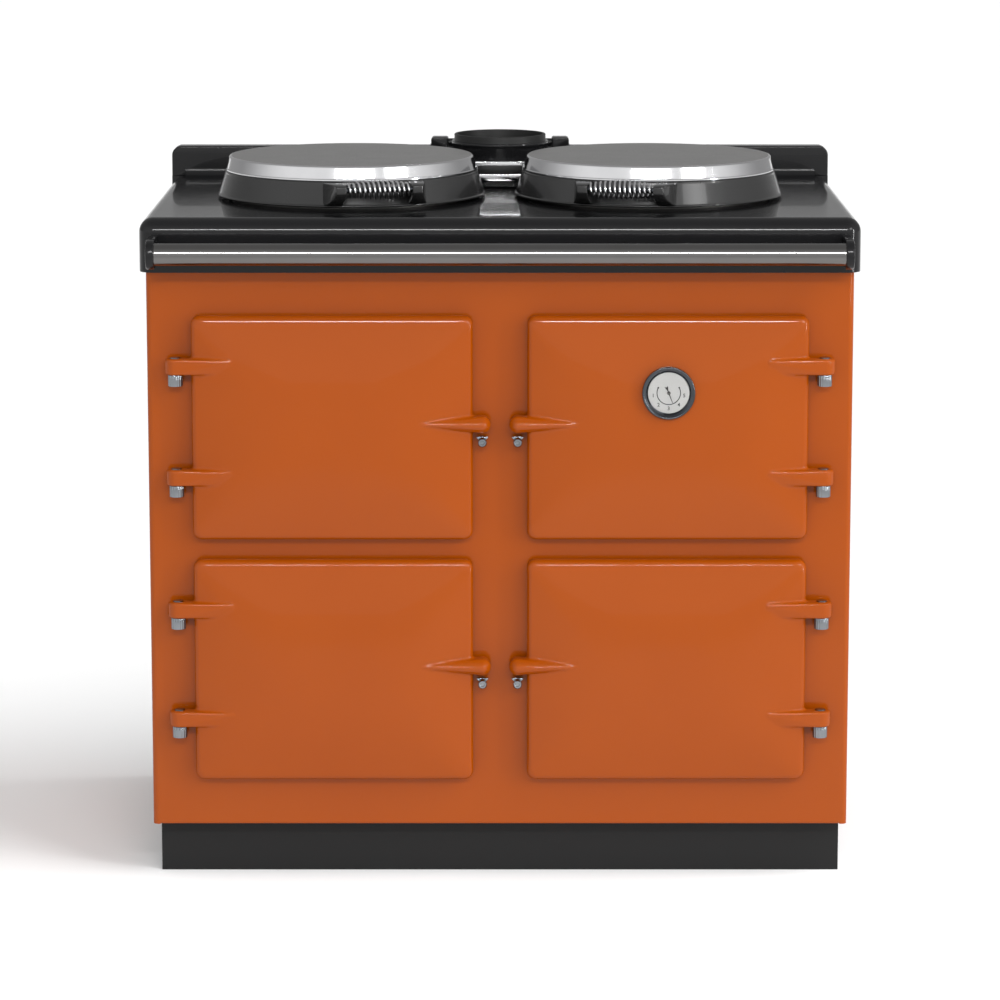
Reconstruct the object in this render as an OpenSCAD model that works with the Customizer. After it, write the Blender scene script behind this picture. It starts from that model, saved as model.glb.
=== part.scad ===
// Heat-storage range cooker with two lidded hotplates and four ovens.
// Millimetres, +Z up, -Y towards the cook. The origin is on the floor, in the middle of the
// cooker's whole width and depth.

/* [Top plate] */
// Width of the top plate, which is the widest piece
plate_w = 980; // [960:1:1040]
// Depth of the top plate with its rear upstand
plate_d = 590; // [585:1:640]
// Height of the hob surface above the floor
hob_z = 925; // [915:1:960]
// Height of the top plate's skirt
plate_h = 74; // [60:1:78]
// Wall of the top plate casting
plate_wall = 10; // [6:0.5:12]
// Radius of the skirt's rolled upper edge
plate_edge_r = 20; // [12:0.5:26]
// Radius of the top plate's front corners in plan
plate_corner_r = 16; // [12:0.5:30]

/* [Rear upstand] */
// Height of the upstand above the hob
upstand_h = 45; // [30:1:55]
// Thickness of the upstand, front to back
upstand_t = 30; // [16:1:32]
// Radius of the cove where the upstand rises from the hob
upstand_cove_r = 12; // [6:1:20]
// Radius of the upstand's top corners
upstand_corner_r = 14; // [4:1:20]
// Distance of each shoulder block from the middle
shoulder_x = 90; // [80:1:110]
// Width of each shoulder block
shoulder_w = 26; // [16:1:36]
// Height of the shoulder blocks above the hob
shoulder_h = 58; // [56:1:70]

/* [Flue outlet] */
// Distance of the flue's axis in front of the plate's rear edge
flue_inset = 114; // [110:1:120]
// Outside diameter of the flue pipe that the collar takes
flue_pipe_d = 125; // [110:1:127]
// Radial clearance of the pipe in the collar
flue_fit = 0.3; // [0.2:0.05:0.6]
// Wall of the collar
collar_wall = 4.2; // [3:0.1:5]
// Height of the collar's rim above the hob
collar_top = 72; // [68:1:80]
// Depth of the pipe's seat in the collar
collar_seat = 36; // [24:1:38]
// Flange radius beyond the collar
flange_lip = 4; // [2:0.5:5]
// Radius of the duct under the collar
duct_r = 52; // [40:1:54]
// Distance of the badge box's face in front of the flue's axis
badge_box_reach = 88; // [84:1:90]
// Width of the badge box
badge_box_w = 100; // [84:1:100]
// Height of the badge box
badge_box_h = 40; // [39:1:44]
// Width and height of the chrome badge frame
badge_size = [76, 28]; // [60:1:90]
// Width and height of the bare plate in the badge frame
badge_inset_size = [64, 12]; // [8:1:70]

/* [Body] */
// How far the body stands inside the top plate at each side
body_inset = 8; // [5:0.5:12]
// Height of the body's lower edge above the floor
body_z = 77; // [60:1:90]
// How far the front panel stands behind the plate's front edge
panel_setback = 15; // [14:1:20]
// Thickness of the cast front panel
panel_t = 8; // [6:0.5:10]
// Thickness of a side panel
side_t = 10; // [6:0.5:12]
// Thickness of the side panel's skin inside its folded border
side_skin = 3; // [1.5:0.5:4]
// Width of the side panel's folded border
side_fold = 26; // [20:1:40]
// Radius of the side panel's front edge
side_edge_r = 8; // [3:0.5:9]
// How far the back panel stands in front of the plate's rear edge
back_inset = 16; // [12:1:30]
// Thickness of the back panel
back_t = 1.5; // [1:0.1:3]
// Thickness of the folded base tray
tray_t = 2; // [1.5:0.1:3]
// Height of the base tray's upturned edges
tray_h = 24; // [15:1:30]
// Number of vent slots in each column of the back panel
vent_rows = 5; // [3:1:8]
// Length and height of a vent slot
vent_size = [150, 5]; // [4:1:180]
// Distance between vent slots
vent_step = 14; // [10:1:20]
// Distance of the vent columns from the middle
vent_x = 200; // [120:1:260]
// Distance of the highest vent slot below the top plate
vent_drop = 40; // [30:1:80]
// Distance of the mains cable gland from the back panel's end
gland_side_gap = 132; // [80:1:200]
// Height of the mains cable gland above the body's lower edge
gland_rise = 75; // [50:1:120]
// Radius of the cable's way through the gland
gland_bore_r = 6.5; // [5:0.5:8]

/* [Plinth and feet] */
// How far the plinth stands inside the body at each side
plinth_inset = 8; // [7:0.5:17]
// How far the plinth stands behind the front panel
plinth_recess = 40; // [30:1:60]
// Width of the plinth's inward fold, which is screwed to the base tray
plinth_fold = 22; // [15:1:30]
// Thickness of the plinth's sheet
plinth_t = 3; // [2:0.5:4]
// Radius of a levelling foot's pad
foot_r = 24; // [16:1:28]
// Thickness of a levelling foot's pad
foot_pad_h = 10; // [6:1:14]
// Radius of a levelling foot's screw
foot_screw_r = 6; // [4:0.5:8]
// Height of the lock nut on a levelling foot's screw
foot_nut_h = 8; // [5:1:10]
// Inset of the feet from the body's sides and ends
foot_edge_gap = 90; // [70:1:140]

/* [Towel rail] */
// Diameter of the rail
rail_d = 30; // [24:1:34]
// Distance of the rail's axis in front of the top plate
rail_reach = 55; // [45:1:70]
// Height of the rail's axis below the hob
rail_drop = 42; // [38:1:46]
// Distance of each bracket from the top plate's end
rail_inset = 16; // [14:1:50]
// Thickness of a rail bracket
bracket_t = 11; // [8:0.5:14]
// Height of a rail bracket
bracket_h = 40; // [36:1:44]

/* [Hotplates] */
// Distance of each hotplate's centre from the middle
hot_x = 211; // [209:1:220]
// Distance of the hotplates' centres in front of the flue's axis
hot_to_flue = 191; // [190:1:200]
// Radius of a hotplate
hot_r = 170; // [150:1:172]
// How far a hotplate stands above the hob
hot_rise = 6; // [3:0.5:8]
// Thickness of a hotplate
hot_t = 44; // [30:1:50]
// Clearance between a hotplate and its hole
hot_gap = 1.5; // [0.5:0.1:3]
// Radius of the heating element's tube
element_r = 4; // [3:0.5:5]
// Number of rings in a hotplate element
element_rings = 4; // [2:1:5]

/* [Hotplate lids] */
// Outer radius of a lid at its lower edge
lid_r = 190; // [186:1:192]
// Outer radius where the chrome cap meets the rim
lid_mid_r = 182.5; // [180:0.5:185]
// Outer radius of the chrome cap's flat top
lid_top_r = 174; // [165:0.5:178]
// Height of a lid's lower edge above the hob
lid_gap = 4; // [2:0.5:5]
// Height of the cap's lower edge above the hob
lid_mid_h = 39; // [34:1:44]
// Height of a lid's top above the hob
lid_top_h = 60; // [54:1:66]
// Wall of the cast rim
lid_wall = 9; // [6:0.5:11]
// Thickness of the chrome cap
cap_t = 2.5; // [1.5:0.1:4]
// Thickness of the insulated lining in a lid
lining_t = 18; // [8:1:20]
// How far the lids are turned towards the middle, in degrees
lid_turn = 12.5; // [8:0.5:14]
// Distance of the hinge axis behind the lid's lower edge
lid_hinge_reach = 15; // [14:0.5:17]
// Height of the hinge axis above the hob
lid_hinge_h = 15; // [13:0.5:17]
// Radius of the hinge eye
lid_eye_r = 9; // [7:0.5:10]
// Radius of the hinge pin
lid_pin_r = 4; // [3:0.25:5]
// Width of the lid's hinge tongue
lid_tongue_w = 40; // [30:1:60]
// Thickness of each cheek of a lid hinge
lid_cheek_t = 6; // [4:0.5:8]

/* [Lid handles] */
// Distance of the handle's axis in front of the lid's lower edge
handle_reach = 15; // [12:0.5:20]
// Height of the handle's axis above the hob
handle_h = 30; // [26:1:33]
// Length of the handle between its lugs
handle_len = 92; // [70:1:110]
// Thickness of each handle lug
lug_t = 14; // [8:1:20]
// Radius of the handle's rod
rod_r = 4; // [3:0.25:5]
// Diameter of the spring's wire
wire_d = 3.2; // [2:0.1:4]
// Number of the spring's turns
spring_turns = 13; // [8:1:14]
// Outside diameter of the spring at its middle
spring_mid_d = 26; // [22:0.5:28]
// Outside diameter of the spring at its ends
spring_end_d = 18; // [17:0.5:20]

/* [Ovens] */
// How much an oven's mouth is narrower than its door, at each side
oven_side_lap = 23.5; // [21:0.5:30]
// How much an oven's mouth is lower than its door, at top and bottom
oven_end_lap = 22.5; // [20:0.5:28]
// Depth of an oven behind the front panel
oven_d = 470; // [440:1:480]
// Wall of an oven liner
oven_wall = 3; // [2:0.5:4]
// Radius of the oven mouth's corners
mouth_r = 10; // [6:1:16]
// Width of a shelf runner
runner_w = 9; // [7:0.5:12]
// Height of a shelf runner
runner_h = 5; // [4:0.5:8]
// Number of runner heights in an oven
runner_rows = 3; // [2:1:4]
// Distance between runner heights
runner_step = 62; // [50:1:64]
// Height of the lowest runner above the oven floor
runner_start = 45; // [40:1:60]
// Depth of an oven shelf
shelf_d = 400; // [360:1:410]
// Thickness of a shelf's frame
shelf_t = 6; // [5:0.5:8]
// Radius of a shelf's wires
shelf_wire_r = 2.2; // [1.5:0.1:2.4]
// Number of wires across a shelf
shelf_wires = 13; // [7:1:19]
// Distance of a shelf from the oven's rear wall
shelf_back_gap = 10; // [5:1:20]
// Radius of an oven element's tube
oven_tube_r = 4; // [3:0.5:5]
// Radius of an oven element's loop
oven_loop_r = 105; // [80:1:120]

/* [Oven doors] */
// Distance between a pair of doors
door_mid_gap = 74.2; // [72:0.1:80]
// Distance from a door to the outside of the body
door_side_gap = 61.9; // [60:0.1:66]
// Height of a door
door_h = 309; // [300:1:320]
// Height of the upper doors' centre
upper_z = 638; // [634:1:642]
// Height of the lower doors' centre
lower_z = 300.5; // [296:0.5:304]
// Gap between the front panel and a door's back
door_gap = 4; // [3:0.5:5]
// Wall of a door casting in front of its hollow back
door_wall = 9; // [6:0.5:10]
// Thickness of the pressed linings of doors and lids
pan_t = 2; // [1:0.1:3]
// Thickness of a door at its edge
door_edge_t = 20; // [18:1:24]
// How far a door's middle swells beyond its edge
door_crown = 14; // [8:1:16]
// Radius of the door's front edge
door_edge_r = 9; // [5:0.5:12]
// Radius of the door's corners
door_corner_r = 12; // [10:0.5:18]
// Depth of the inner lining that enters the oven
door_plug_d = 28; // [15:1:32]
// Clearance round the inner lining
door_plug_gap = 7; // [6:0.5:10]
// Thickness of the door seal
seal_t = 3.5; // [2:0.1:4]
// Width of the door seal
seal_w = 10; // [8:1:12]

/* [Door hinges and catches] */
// Distance of the hinge axis outside the door's edge
hinge_reach = 21.5; // [18:0.5:23]
// Distance of the hinge axis in front of the panel
hinge_off = 17; // [17:0.5:20]
// Radius of the arm's eye
eye_r = 14; // [12:0.5:14]
// Height of a hinge arm
arm_h = 22; // [18:1:26]
// Distance between the two hinge arms of a door
arm_spread = 153; // [120:1:180]
// How far the arms' middle lies above the door's centre
arm_rise = 9; // [0:1:15]
// Length of an arm over the door's face
arm_len = 52; // [40:1:60]
// Radius of a hinge pin
pin_r = 7.4; // [6:0.1:8]
// Running clearance of the pin in its arm
pin_fit = 0.05; // [0.02:0.01:0.1]
// Radius of the fluted collar under an arm
pin_collar_r = 10; // [9:0.5:12]
// Height of the fluted collar
pin_collar_h = 16; // [10:1:20]
// Number of flutes round the collar
pin_flutes = 16; // [8:1:24]
// Height of the latch arm above the door's centre
latch_rise = 6; // [0:1:12]
// Reach of the latch arm beyond the door's edge
latch_reach = 24.5; // [20:0.5:27]
// Length of the latch arm over the door's face
latch_len = 71; // [50:1:80]
// Radius of the latch arm's round end
latch_r = 11.5; // [9:0.5:12]
// How far the catch lies below the latch arm
catch_drop = 25; // [24.5:0.5:30]
// Radius of the catch's stud
catch_r = 6.2; // [4:0.2:6.4]
// Reach of the catch's stud in front of the panel
catch_reach = 26; // [18:1:30]

/* [Thermometer] */
// Height of the thermometer above its door's centre
gauge_rise = 52.5; // [40:0.5:60]
// Radius of the bezel
gauge_r = 36; // [30:0.5:40]
// Radius of the dial that shows
dial_r = 28.5; // [24:0.5:29]
// How far the bezel stands out from the door's crown
bezel_t = 8; // [6:0.5:10]
// Depth of the thermometer's case in the door
case_t = 12; // [8:1:16]
// Length of the needle from its pivot
needle_len = 15; // [10:0.5:20]
// Needle's angle from straight down, in degrees
needle_turn = 21.4; // [-60:0.1:60]

/* [Hidden] */
$fn = 64;

enamel = "#b85a24";
black_enamel = "#1c1c1e";
cast_grey = "#3a3a3c";
chrome = "#c9ccd0";
steel = "#8d8f92";
black = "#151515";
wool = "#d8cfb4";

dial_silver = "#d9d9d6";
glass = "#dfe8ee";

// Sides of the widest round pieces, and of small ones
wide_fn = 96;
small_fn = 24;
// Small clearance between pieces that lie against each other
seat = 0.3;
// Extra length that carries a cut past a face
over = 1;
left = -1;
right = 1;

// Widths that follow the top plate's, then depths from the cook's side to the wall
body_w = plate_w - 2 * body_inset;
plinth_w = body_w - 2 * plinth_inset;
door_w = (body_w - door_mid_gap) / 2 - door_side_gap;
door_x = (door_w + door_mid_gap) / 2;
oven_w = door_w - 2 * oven_side_lap;
oven_h = door_h - 2 * oven_end_lap;
rail_len = plate_w - 2 * (rail_inset + bracket_t);
total_d = plate_d + rail_reach + max(rail_d, bracket_h) / 2;
back_y = total_d / 2;
front_y = back_y - plate_d;
panel_y = front_y + panel_setback;
panel_back_y = panel_y + panel_t;
body_back_y = back_y - back_inset;
upstand_y = back_y - upstand_t;
flue_y = back_y - flue_inset;
hot_y = flue_y - hot_to_flue;
body_top_z = hob_z - plate_h;
rail_y = front_y - rail_reach;
rail_z = hob_z - rail_drop;
oven_back_y = panel_back_y + oven_d;
shelf_back_y = oven_back_y - shelf_back_gap;

// Cut for one convex corner of radius r, whose rounded corner would lie at the origin
module corner_cut(r) {
    difference() {
        translate([-r, -r]) square(r + over);
        translate([-r, -r]) circle(r);
    }
}

// Rectangle from the origin with its upper left and upper right corners rounded
module top_rounded(w, h, r) {
    difference() {
        square([w, h]);
        translate([w, h]) corner_cut(r);
        translate([0, h]) mirror([1, 0]) corner_cut(r);
    }
}

// Rectangle centred on the origin with all corners rounded
module rounded_rect(w, h, r) {
    difference() {
        square([w, h], center = true);
        for (sx = [-1, 1], sy = [-1, 1])
            scale([sx, sy]) translate([w / 2, h / 2]) corner_cut(r);
    }
}

// Extrudes a drawing of X and Z along Y, from y0 to y1
module along_y(y0, y1) {
    translate([0, y1, 0]) rotate([90, 0, 0]) linear_extrude(y1 - y0) children();
}

// Extrudes a drawing of Y and Z along X, from x0 to x1
module along_x(x0, x1) {
    translate([x0, 0, 0]) rotate([90, 0, 90]) linear_extrude(x1 - x0) children();
}

// Each oven's side and the height of its centre
OVENS = [[left, upper_z], [right, upper_z], [left, lower_z], [right, lower_z]];

module at_ovens() {
    for (oven = OVENS) translate([oven[0] * door_x, 0, oven[1]]) children();
}

// Points of a rounded rectangle at height z, counter-clockwise, n + 1 to a corner
function ring(a, b, r, z, n = 5) = [
    for (q = [0:3], i = [0:n])
        let (t = 90 * (q + i / n), cx = (q == 0 || q == 3) ? a - r : r - a, cy = q < 2 ? b - r : r - b)
            [cx + r * cos(t), cy + r * sin(t), z]
];

// Closed skin over rings of m points each, with flat ends
module loft(rings) {
    m = len(rings[0]);
    n = len(rings);
    points = [for (one = rings) each one];
    sides = [
        for (k = [0:n - 2], i = [0:m - 1])
            let (j = (i + 1) % m, p = k * m, q = p + m)
                each [[p + i, q + i, q + j], [p + i, q + j, p + j]]
    ];
    polyhedron(points, concat([[for (i = [0:m - 1]) i]],
        sides, [[for (i = [m - 1:-1:0]) (n - 1) * m + i]]));
}

// Plinth and feet

plinth_y = panel_y + plinth_recess;

module plinth_front() {
    color(black) {
        translate([-plinth_w / 2, plinth_y, 0]) cube([plinth_w, plinth_t, body_z]);
        translate([-plinth_w / 2, plinth_y + plinth_t, body_z - plinth_t])
            cube([plinth_w, plinth_fold, plinth_t]);
    }
}

module plinth_sides() {
    start = plinth_y + plinth_t + plinth_fold;
    color(black) for (side = [left, right]) scale([side, 1, 1]) {
        translate([plinth_w / 2 - plinth_t, plinth_y + plinth_t, 0])
            cube([plinth_t, body_back_y - plinth_y - plinth_t, body_z - plinth_t]);
        translate([plinth_w / 2 - plinth_t - plinth_fold, start, body_z - plinth_t])
            cube([plinth_t + plinth_fold, body_back_y - start, plinth_t]);
    }
}

module levelling_feet() {
    color(steel)
    for (sx = [-1, 1], y = [plinth_y + foot_edge_gap, body_back_y - foot_edge_gap])
        translate([sx * (body_w / 2 - foot_edge_gap), y, 0]) {
            cylinder(h = foot_pad_h, r = foot_r);
            cylinder(h = body_z, r = foot_screw_r);
            translate([0, 0, body_z - foot_nut_h]) cylinder(h = foot_nut_h, r = 2 * foot_screw_r, $fn = 6);
        }
}

// Casing

inner_w = body_w - 2 * side_t;
gland_x = inner_w / 2 - gland_side_gap;

module base_tray() {
    depth = body_back_y - back_t - panel_back_y;
    color(steel) translate([-inner_w / 2, panel_back_y, body_z]) difference() {
        cube([inner_w, depth, tray_h]);
        translate([tray_t, tray_t, tray_t])
            cube([inner_w - 2 * tray_t, depth - 2 * tray_t, tray_h]);
    }
}

module side_panel() {
    color(enamel) difference() {
        translate([0, 0, body_z]) linear_extrude(body_top_z - body_z) difference() {
            translate([inner_w / 2, panel_y]) square([side_t, body_back_y - panel_y]);
            translate([body_w / 2, panel_y]) mirror([0, 1]) corner_cut(side_edge_r);
        }
        translate([inner_w / 2 - over, panel_back_y + side_fold, body_z + side_fold]) cube([
            side_t - side_skin + over,
            body_back_y - panel_back_y - 2 * side_fold,
            body_top_z - body_z - 2 * side_fold
        ]);
    }
}

module back_panel() {
    color(steel) difference() {
        along_y(body_back_y - back_t, body_back_y)
            translate([-inner_w / 2, body_z]) square([inner_w, body_top_z - body_z]);
        for (row = [0:vent_rows - 1], sx = [-1, 1])
            along_y(body_back_y - 2 * back_t, body_back_y + back_t)
                translate([sx * vent_x, body_top_z - vent_drop - row * vent_step])
                    rounded_rect(vent_size[0], vent_size[1], vent_size[1] / 2 - 0.01);
        translate([gland_x, body_back_y + over, body_z + gland_rise]) rotate([90, 0, 0])
            cylinder(h = back_t + 2 * over, r = gland_stem_r + screw_play);
        at_screws() rotate([90, 0, 0])
            cylinder(h = back_t + 2 * over, r = screw_r + screw_play, center = true);
    }
}

// Screws round the back panel
screw_r = 2;
screw_head_r = 4.5;
screw_head_h = 2.4;
screw_play = 0.2;
screw_edge = 12;
screw_columns = 5;

module at_screws() {
    pitch = (inner_w - 2 * screw_edge) / (screw_columns - 1);
    for (i = [0:screw_columns - 1], z = [body_z + tray_h / 2, body_top_z - screw_edge])
        translate([screw_edge - inner_w / 2 + i * pitch, body_back_y - back_t / 2, z]) children();
}

module fixing_screws() {
    color(steel) at_screws() translate([0, back_t / 2, 0]) {
        rotate([-90, 0, 0]) difference() {
            cylinder(h = screw_head_h, r = screw_head_r, $fn = small_fn);
            translate([0, 0, screw_head_h / 2]) cylinder(h = screw_head_h, r = screw_r, $fn = 6);
        }
        rotate([90, 0, 0]) cylinder(h = back_t, r = screw_r, $fn = small_fn);
    }
}

// Mains cable gland: a hexagon and a round nut outside, a stem inside
gland_stem_r = 12;
gland_stem_len = 14;
gland_hex_r = 18;
gland_hex_h = 5;
gland_nut_r = 14;
gland_nut_h = 6;

module cable_gland() {
    length = gland_stem_len + gland_hex_h + gland_nut_h;
    color(black) translate([gland_x, body_back_y, body_z + gland_rise]) rotate([-90, 0, 0]) difference() {
        union() {
            cylinder(h = gland_hex_h, r = gland_hex_r, $fn = 6);
            cylinder(h = gland_hex_h + gland_nut_h, r = gland_nut_r);
            translate([0, 0, -gland_stem_len]) cylinder(h = gland_stem_len, r = gland_stem_r);
        }
        translate([0, 0, -gland_stem_len - over]) cylinder(h = length + 2 * over, r = gland_bore_r);
    }
}

module oven_mouth(depth) {
    rotate([90, 0, 0]) linear_extrude(depth) rounded_rect(oven_w, oven_h, mouth_r);
}

module front_panel() {
    color(enamel) difference() {
        along_y(panel_y, panel_back_y)
            translate([-inner_w / 2, body_z]) square([inner_w, body_top_z - body_z]);
        at_ovens() translate([0, panel_back_y + over, 0]) oven_mouth(panel_t + 2 * over);
        translate([0, panel_y, body_z]) along_x(-inner_w, inner_w)
            mirror([1, 0]) mirror([0, 1]) corner_cut(panel_t / 2);
    }
}

module oven_seals() {
    color(cast_grey) at_ovens() translate([0, panel_y, 0]) rotate([90, 0, 0]) linear_extrude(seal_t)
        difference() {
            rounded_rect(oven_w + 2 * seal_w, oven_h + 2 * seal_w, mouth_r + seal_w);
            rounded_rect(oven_w, oven_h, mouth_r);
        }
}

// Top plate, upstand and towel rail

module top_plate() {
    color(black_enamel) difference() {
        intersection() {
            along_x(-plate_w / 2, plate_w / 2) difference() {
                translate([front_y, body_top_z]) square([plate_d, plate_h]);
                translate([front_y, hob_z]) mirror([1, 0]) corner_cut(plate_edge_r);
            }
            along_y(front_y - over, back_y)
                translate([-plate_w / 2, body_top_z]) top_rounded(plate_w, plate_h, plate_edge_r);
            translate([0, 0, body_top_z]) linear_extrude(plate_h) difference() {
                translate([-plate_w / 2, front_y]) square([plate_w, plate_d]);
                for (side = [left, right])
                    scale([side, 1]) translate([plate_w / 2, front_y])
                        mirror([0, 1]) corner_cut(plate_corner_r);
            }
        }
        translate([-plate_w / 2 + plate_under, front_y + plate_under, body_top_z - over])
            cube([plate_w - 2 * plate_under, plate_d - 2 * plate_under, plate_h - plate_wall + over]);
        for (side = [left, right]) translate([side * hot_x, hot_y, body_top_z])
            cylinder(h = plate_h + over, r = hot_r + hot_gap, $fn = wide_fn);
        translate([0, flue_y, body_top_z]) cylinder(h = plate_h + over, r = duct_r);
    }
}

// Width of the skirt, which stands on the casing's edges all round
plate_under = plate_edge_r + 6;

module rear_upstand() {
    color(black_enamel) {
        along_y(upstand_y, back_y) translate([0, hob_z]) {
            translate([-plate_w / 2, 0]) top_rounded(plate_w, upstand_h, upstand_corner_r);
            for (side = [left, right]) translate([side * shoulder_x - shoulder_w / 2, 0])
                top_rounded(shoulder_w, shoulder_h, shoulder_w / 5);
        }
        for (side = [left, right]) scale([side, 1, 1])
            along_x(shoulder_x + shoulder_w / 2, plate_w / 2 - plate_edge_r) translate([upstand_y, hob_z])
                mirror([1, 0]) difference() {
                    square(upstand_cove_r);
                    translate([upstand_cove_r, upstand_cove_r]) circle(upstand_cove_r);
                }
    }
}

module towel_rail() {
    color(chrome) translate([-rail_len / 2, rail_y, rail_z]) rotate([0, 90, 0])
        cylinder(h = rail_len, r = rail_d / 2);
}

module rail_brackets() {
    color(black) for (side = [left, right]) scale([side, 1, 1])
        along_x(rail_len / 2, rail_len / 2 + bracket_t) translate([rail_y, rail_z]) {
            circle(bracket_h / 2);
            translate([0, -bracket_h / 2]) square([rail_reach, bracket_h]);
        }
}

// Hotplates

// Lugs under the top plate, which hold a hotplate down
hot_lug_w = 16;
hot_lug_len = 18;
hot_lug_lap = 5;

module hotplate(side) {
    color(cast_grey) translate([side * hot_x, hot_y, hob_z + hot_rise - hot_t]) {
        cylinder(h = hot_t, r = hot_r, $fn = wide_fn);
        for (a = [45:90:315]) rotate(a) translate([hot_r - hot_lug_lap, -hot_lug_w / 2, 0])
            cube([hot_lug_len, hot_lug_w, hot_t - hot_rise - plate_wall]);
    }
}

module hotplate_elements() {
    z = hob_z + hot_rise - hot_t - element_r - seat;
    pitch = hot_r / (element_rings + 0.5);
    color(steel) for (side = [left, right], i = [1:element_rings])
        translate([side * hot_x, hot_y, z]) rotate_extrude()
            translate([i * pitch, 0]) circle(element_r, $fn = small_fn);
}

// Flue outlet

collar_r = flue_pipe_d / 2 + flue_fit;
flange_r = collar_r + collar_wall + flange_lip;
collar_floor = hob_z + collar_top - collar_seat;
// How far the collar's rim stands above the flange, the flange's thickness and its under-bevel
collar_show = 10;
flange_t = 5;
flange_bevel = 3;
// Walls of the duct below the collar's seat and of the neck round the collar
duct_wall = 8;
neck_wall = 2;

module flue_casting() {
    recess_r = collar_r + collar_wall + seat;
    neck_r = recess_r + neck_wall;
    top = hob_z + collar_top - collar_show;
    color(black_enamel) translate([0, flue_y, 0]) difference() {
        union() {
            rotate_extrude() polygon([
                [0, hob_z], [duct_r + duct_wall, hob_z], [duct_r + duct_wall, collar_floor - flange_t],
                [neck_r, collar_floor], [neck_r, top - flange_t - flange_bevel],
                [flange_r, top - flange_t], [flange_r, top], [0, top]
            ]);
            translate([-badge_box_w / 2, -badge_box_reach, hob_z])
                cube([badge_box_w, badge_box_reach, badge_box_h]);
        }
        translate([0, 0, collar_floor]) cylinder(h = collar_seat, r = recess_r);
        translate([0, 0, hob_z - over]) cylinder(h = plate_h, r = duct_r);
    }
}

module flue_collar() {
    color(black) translate([0, flue_y, collar_floor]) difference() {
        cylinder(h = collar_seat, r = collar_r + collar_wall);
        translate([0, 0, -over]) cylinder(h = collar_seat + 2 * over, r = collar_r);
    }
}

badge_y = flue_y - badge_box_reach;
badge_z = hob_z + badge_box_h - badge_size[1] / 2 - 1;
badge_t = 3;
badge_recess = 1;
badge_corner_r = 2;
inset_corner_r = 0.7;
// How far the bare plate lies above the frame's middle
inset_rise = 2;

module badge_frame() {
    color(chrome) translate([0, badge_y, badge_z]) rotate([90, 0, 0]) difference() {
        linear_extrude(badge_t) rounded_rect(badge_size[0], badge_size[1], badge_corner_r);
        translate([0, inset_rise, badge_t - badge_recess]) linear_extrude(badge_t) rounded_rect(
            badge_inset_size[0] + 2 * seat, badge_inset_size[1] + 2 * seat, inset_corner_r + seat);
    }
}

module badge_inset() {
    color(black) translate([0, badge_y - badge_t + badge_recess, badge_z]) rotate([90, 0, 0])
        translate([0, inset_rise, 0]) linear_extrude(badge_recess / 2)
            rounded_rect(badge_inset_size[0], badge_inset_size[1], inset_corner_r);
}

// Ovens

liner_w = oven_w + 2 * oven_wall;
liner_h = oven_h + 2 * oven_wall;

module oven_liner(side, z) {
    reach = shelf_d + shelf_back_gap;
    color(black_enamel) translate([side * door_x, panel_back_y, z]) {
        rotate([-90, 0, 0]) difference() {
            translate([-liner_w / 2, -liner_h / 2, 0]) cube([liner_w, liner_h, oven_d + oven_wall]);
            translate([-oven_w / 2, -oven_h / 2, -over]) cube([oven_w, oven_h, oven_d + over]);
        }
        for (row = [0:runner_rows - 1], s = [left, right]) scale([s, 1, 1])
            translate([oven_w / 2 - runner_w, oven_d - reach, runner_start + row * runner_step - oven_h / 2])
                cube([runner_w + oven_wall / 2, reach + oven_wall / 2, runner_h]);
    }
}

// Room under an oven for its element
element_gap = 12;

module oven_elements() {
    color(steel) at_ovens()
        translate([0, (panel_back_y + oven_back_y) / 2, -liner_h / 2 - oven_tube_r - seat])
            rotate_extrude($fn = 48) translate([oven_loop_r, 0]) circle(oven_tube_r, $fn = small_fn);
}

module insulation() {
    w = inner_w - 2 * tray_t - 2 * seat;
    depth = body_back_y - back_t - tray_t - panel_back_y - tray_t - 2 * seat;
    color(wool) difference() {
        translate([-w / 2, panel_back_y + tray_t + seat, body_z + tray_t + seat])
            cube([w, depth, body_top_z - body_z - tray_t - 2 * seat]);
        at_ovens() translate([-liner_w / 2 - seat, panel_back_y, -liner_h / 2 - element_gap])
            cube([liner_w + 2 * seat, oven_d + oven_wall + seat, liner_h + element_gap + seat]);
        translate([gland_x, body_back_y, body_z + gland_rise]) rotate([90, 0, 0])
            cylinder(h = 2 * gland_stem_len, r = gland_nut_r);
    }
}

// Play of a shelf between the oven's walls
shelf_play = 3.6;

module shelf(side, z) {
    w = oven_w - shelf_play;
    level = z - oven_h / 2 + runner_start + runner_h + seat;
    color(steel) translate([side * door_x, shelf_back_y - shelf_d, level]) {
        difference() {
            translate([-w / 2, 0, 0]) cube([w, shelf_d, shelf_t]);
            translate([-w / 2 + shelf_t, shelf_t, -over])
                cube([w - 2 * shelf_t, shelf_d - 2 * shelf_t, shelf_t + 2 * over]);
        }
        for (i = [1:shelf_wires])
            translate([w * (i / (shelf_wires + 1) - 0.5), shelf_t / 2, shelf_t / 2]) rotate([-90, 0, 0])
                cylinder(h = shelf_d - shelf_t, r = shelf_wire_r, $fn = small_fn);
    }
}

// Doors, drawn flat with the panel at z = 0, the hinge at +x and the cook at +z

door_front = door_gap + door_edge_t;
crown_top = door_front + door_crown;
// The crown is flat nearer than this to the door's long middle line
crown_flat = 26;
crown_inset = door_h / 2 - crown_flat;
// How fast the corners' radius grows towards the middle
corner_growth = 0.35;
rim_steps = 5;
crown_steps = 7;

// Height of the crown at a share t of the way from the edge to the middle
function crown_at(t) = door_front + door_crown * (1 - pow(1 - t, 2));

// Ring of the door's skin at an inset from its edge and at height z
function door_ring(inset, z) =
    let (r = min(door_h / 2 - inset - 1, door_corner_r + inset * corner_growth))
        ring(door_w / 2 - inset, door_h / 2 - inset, r, z);

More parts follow.
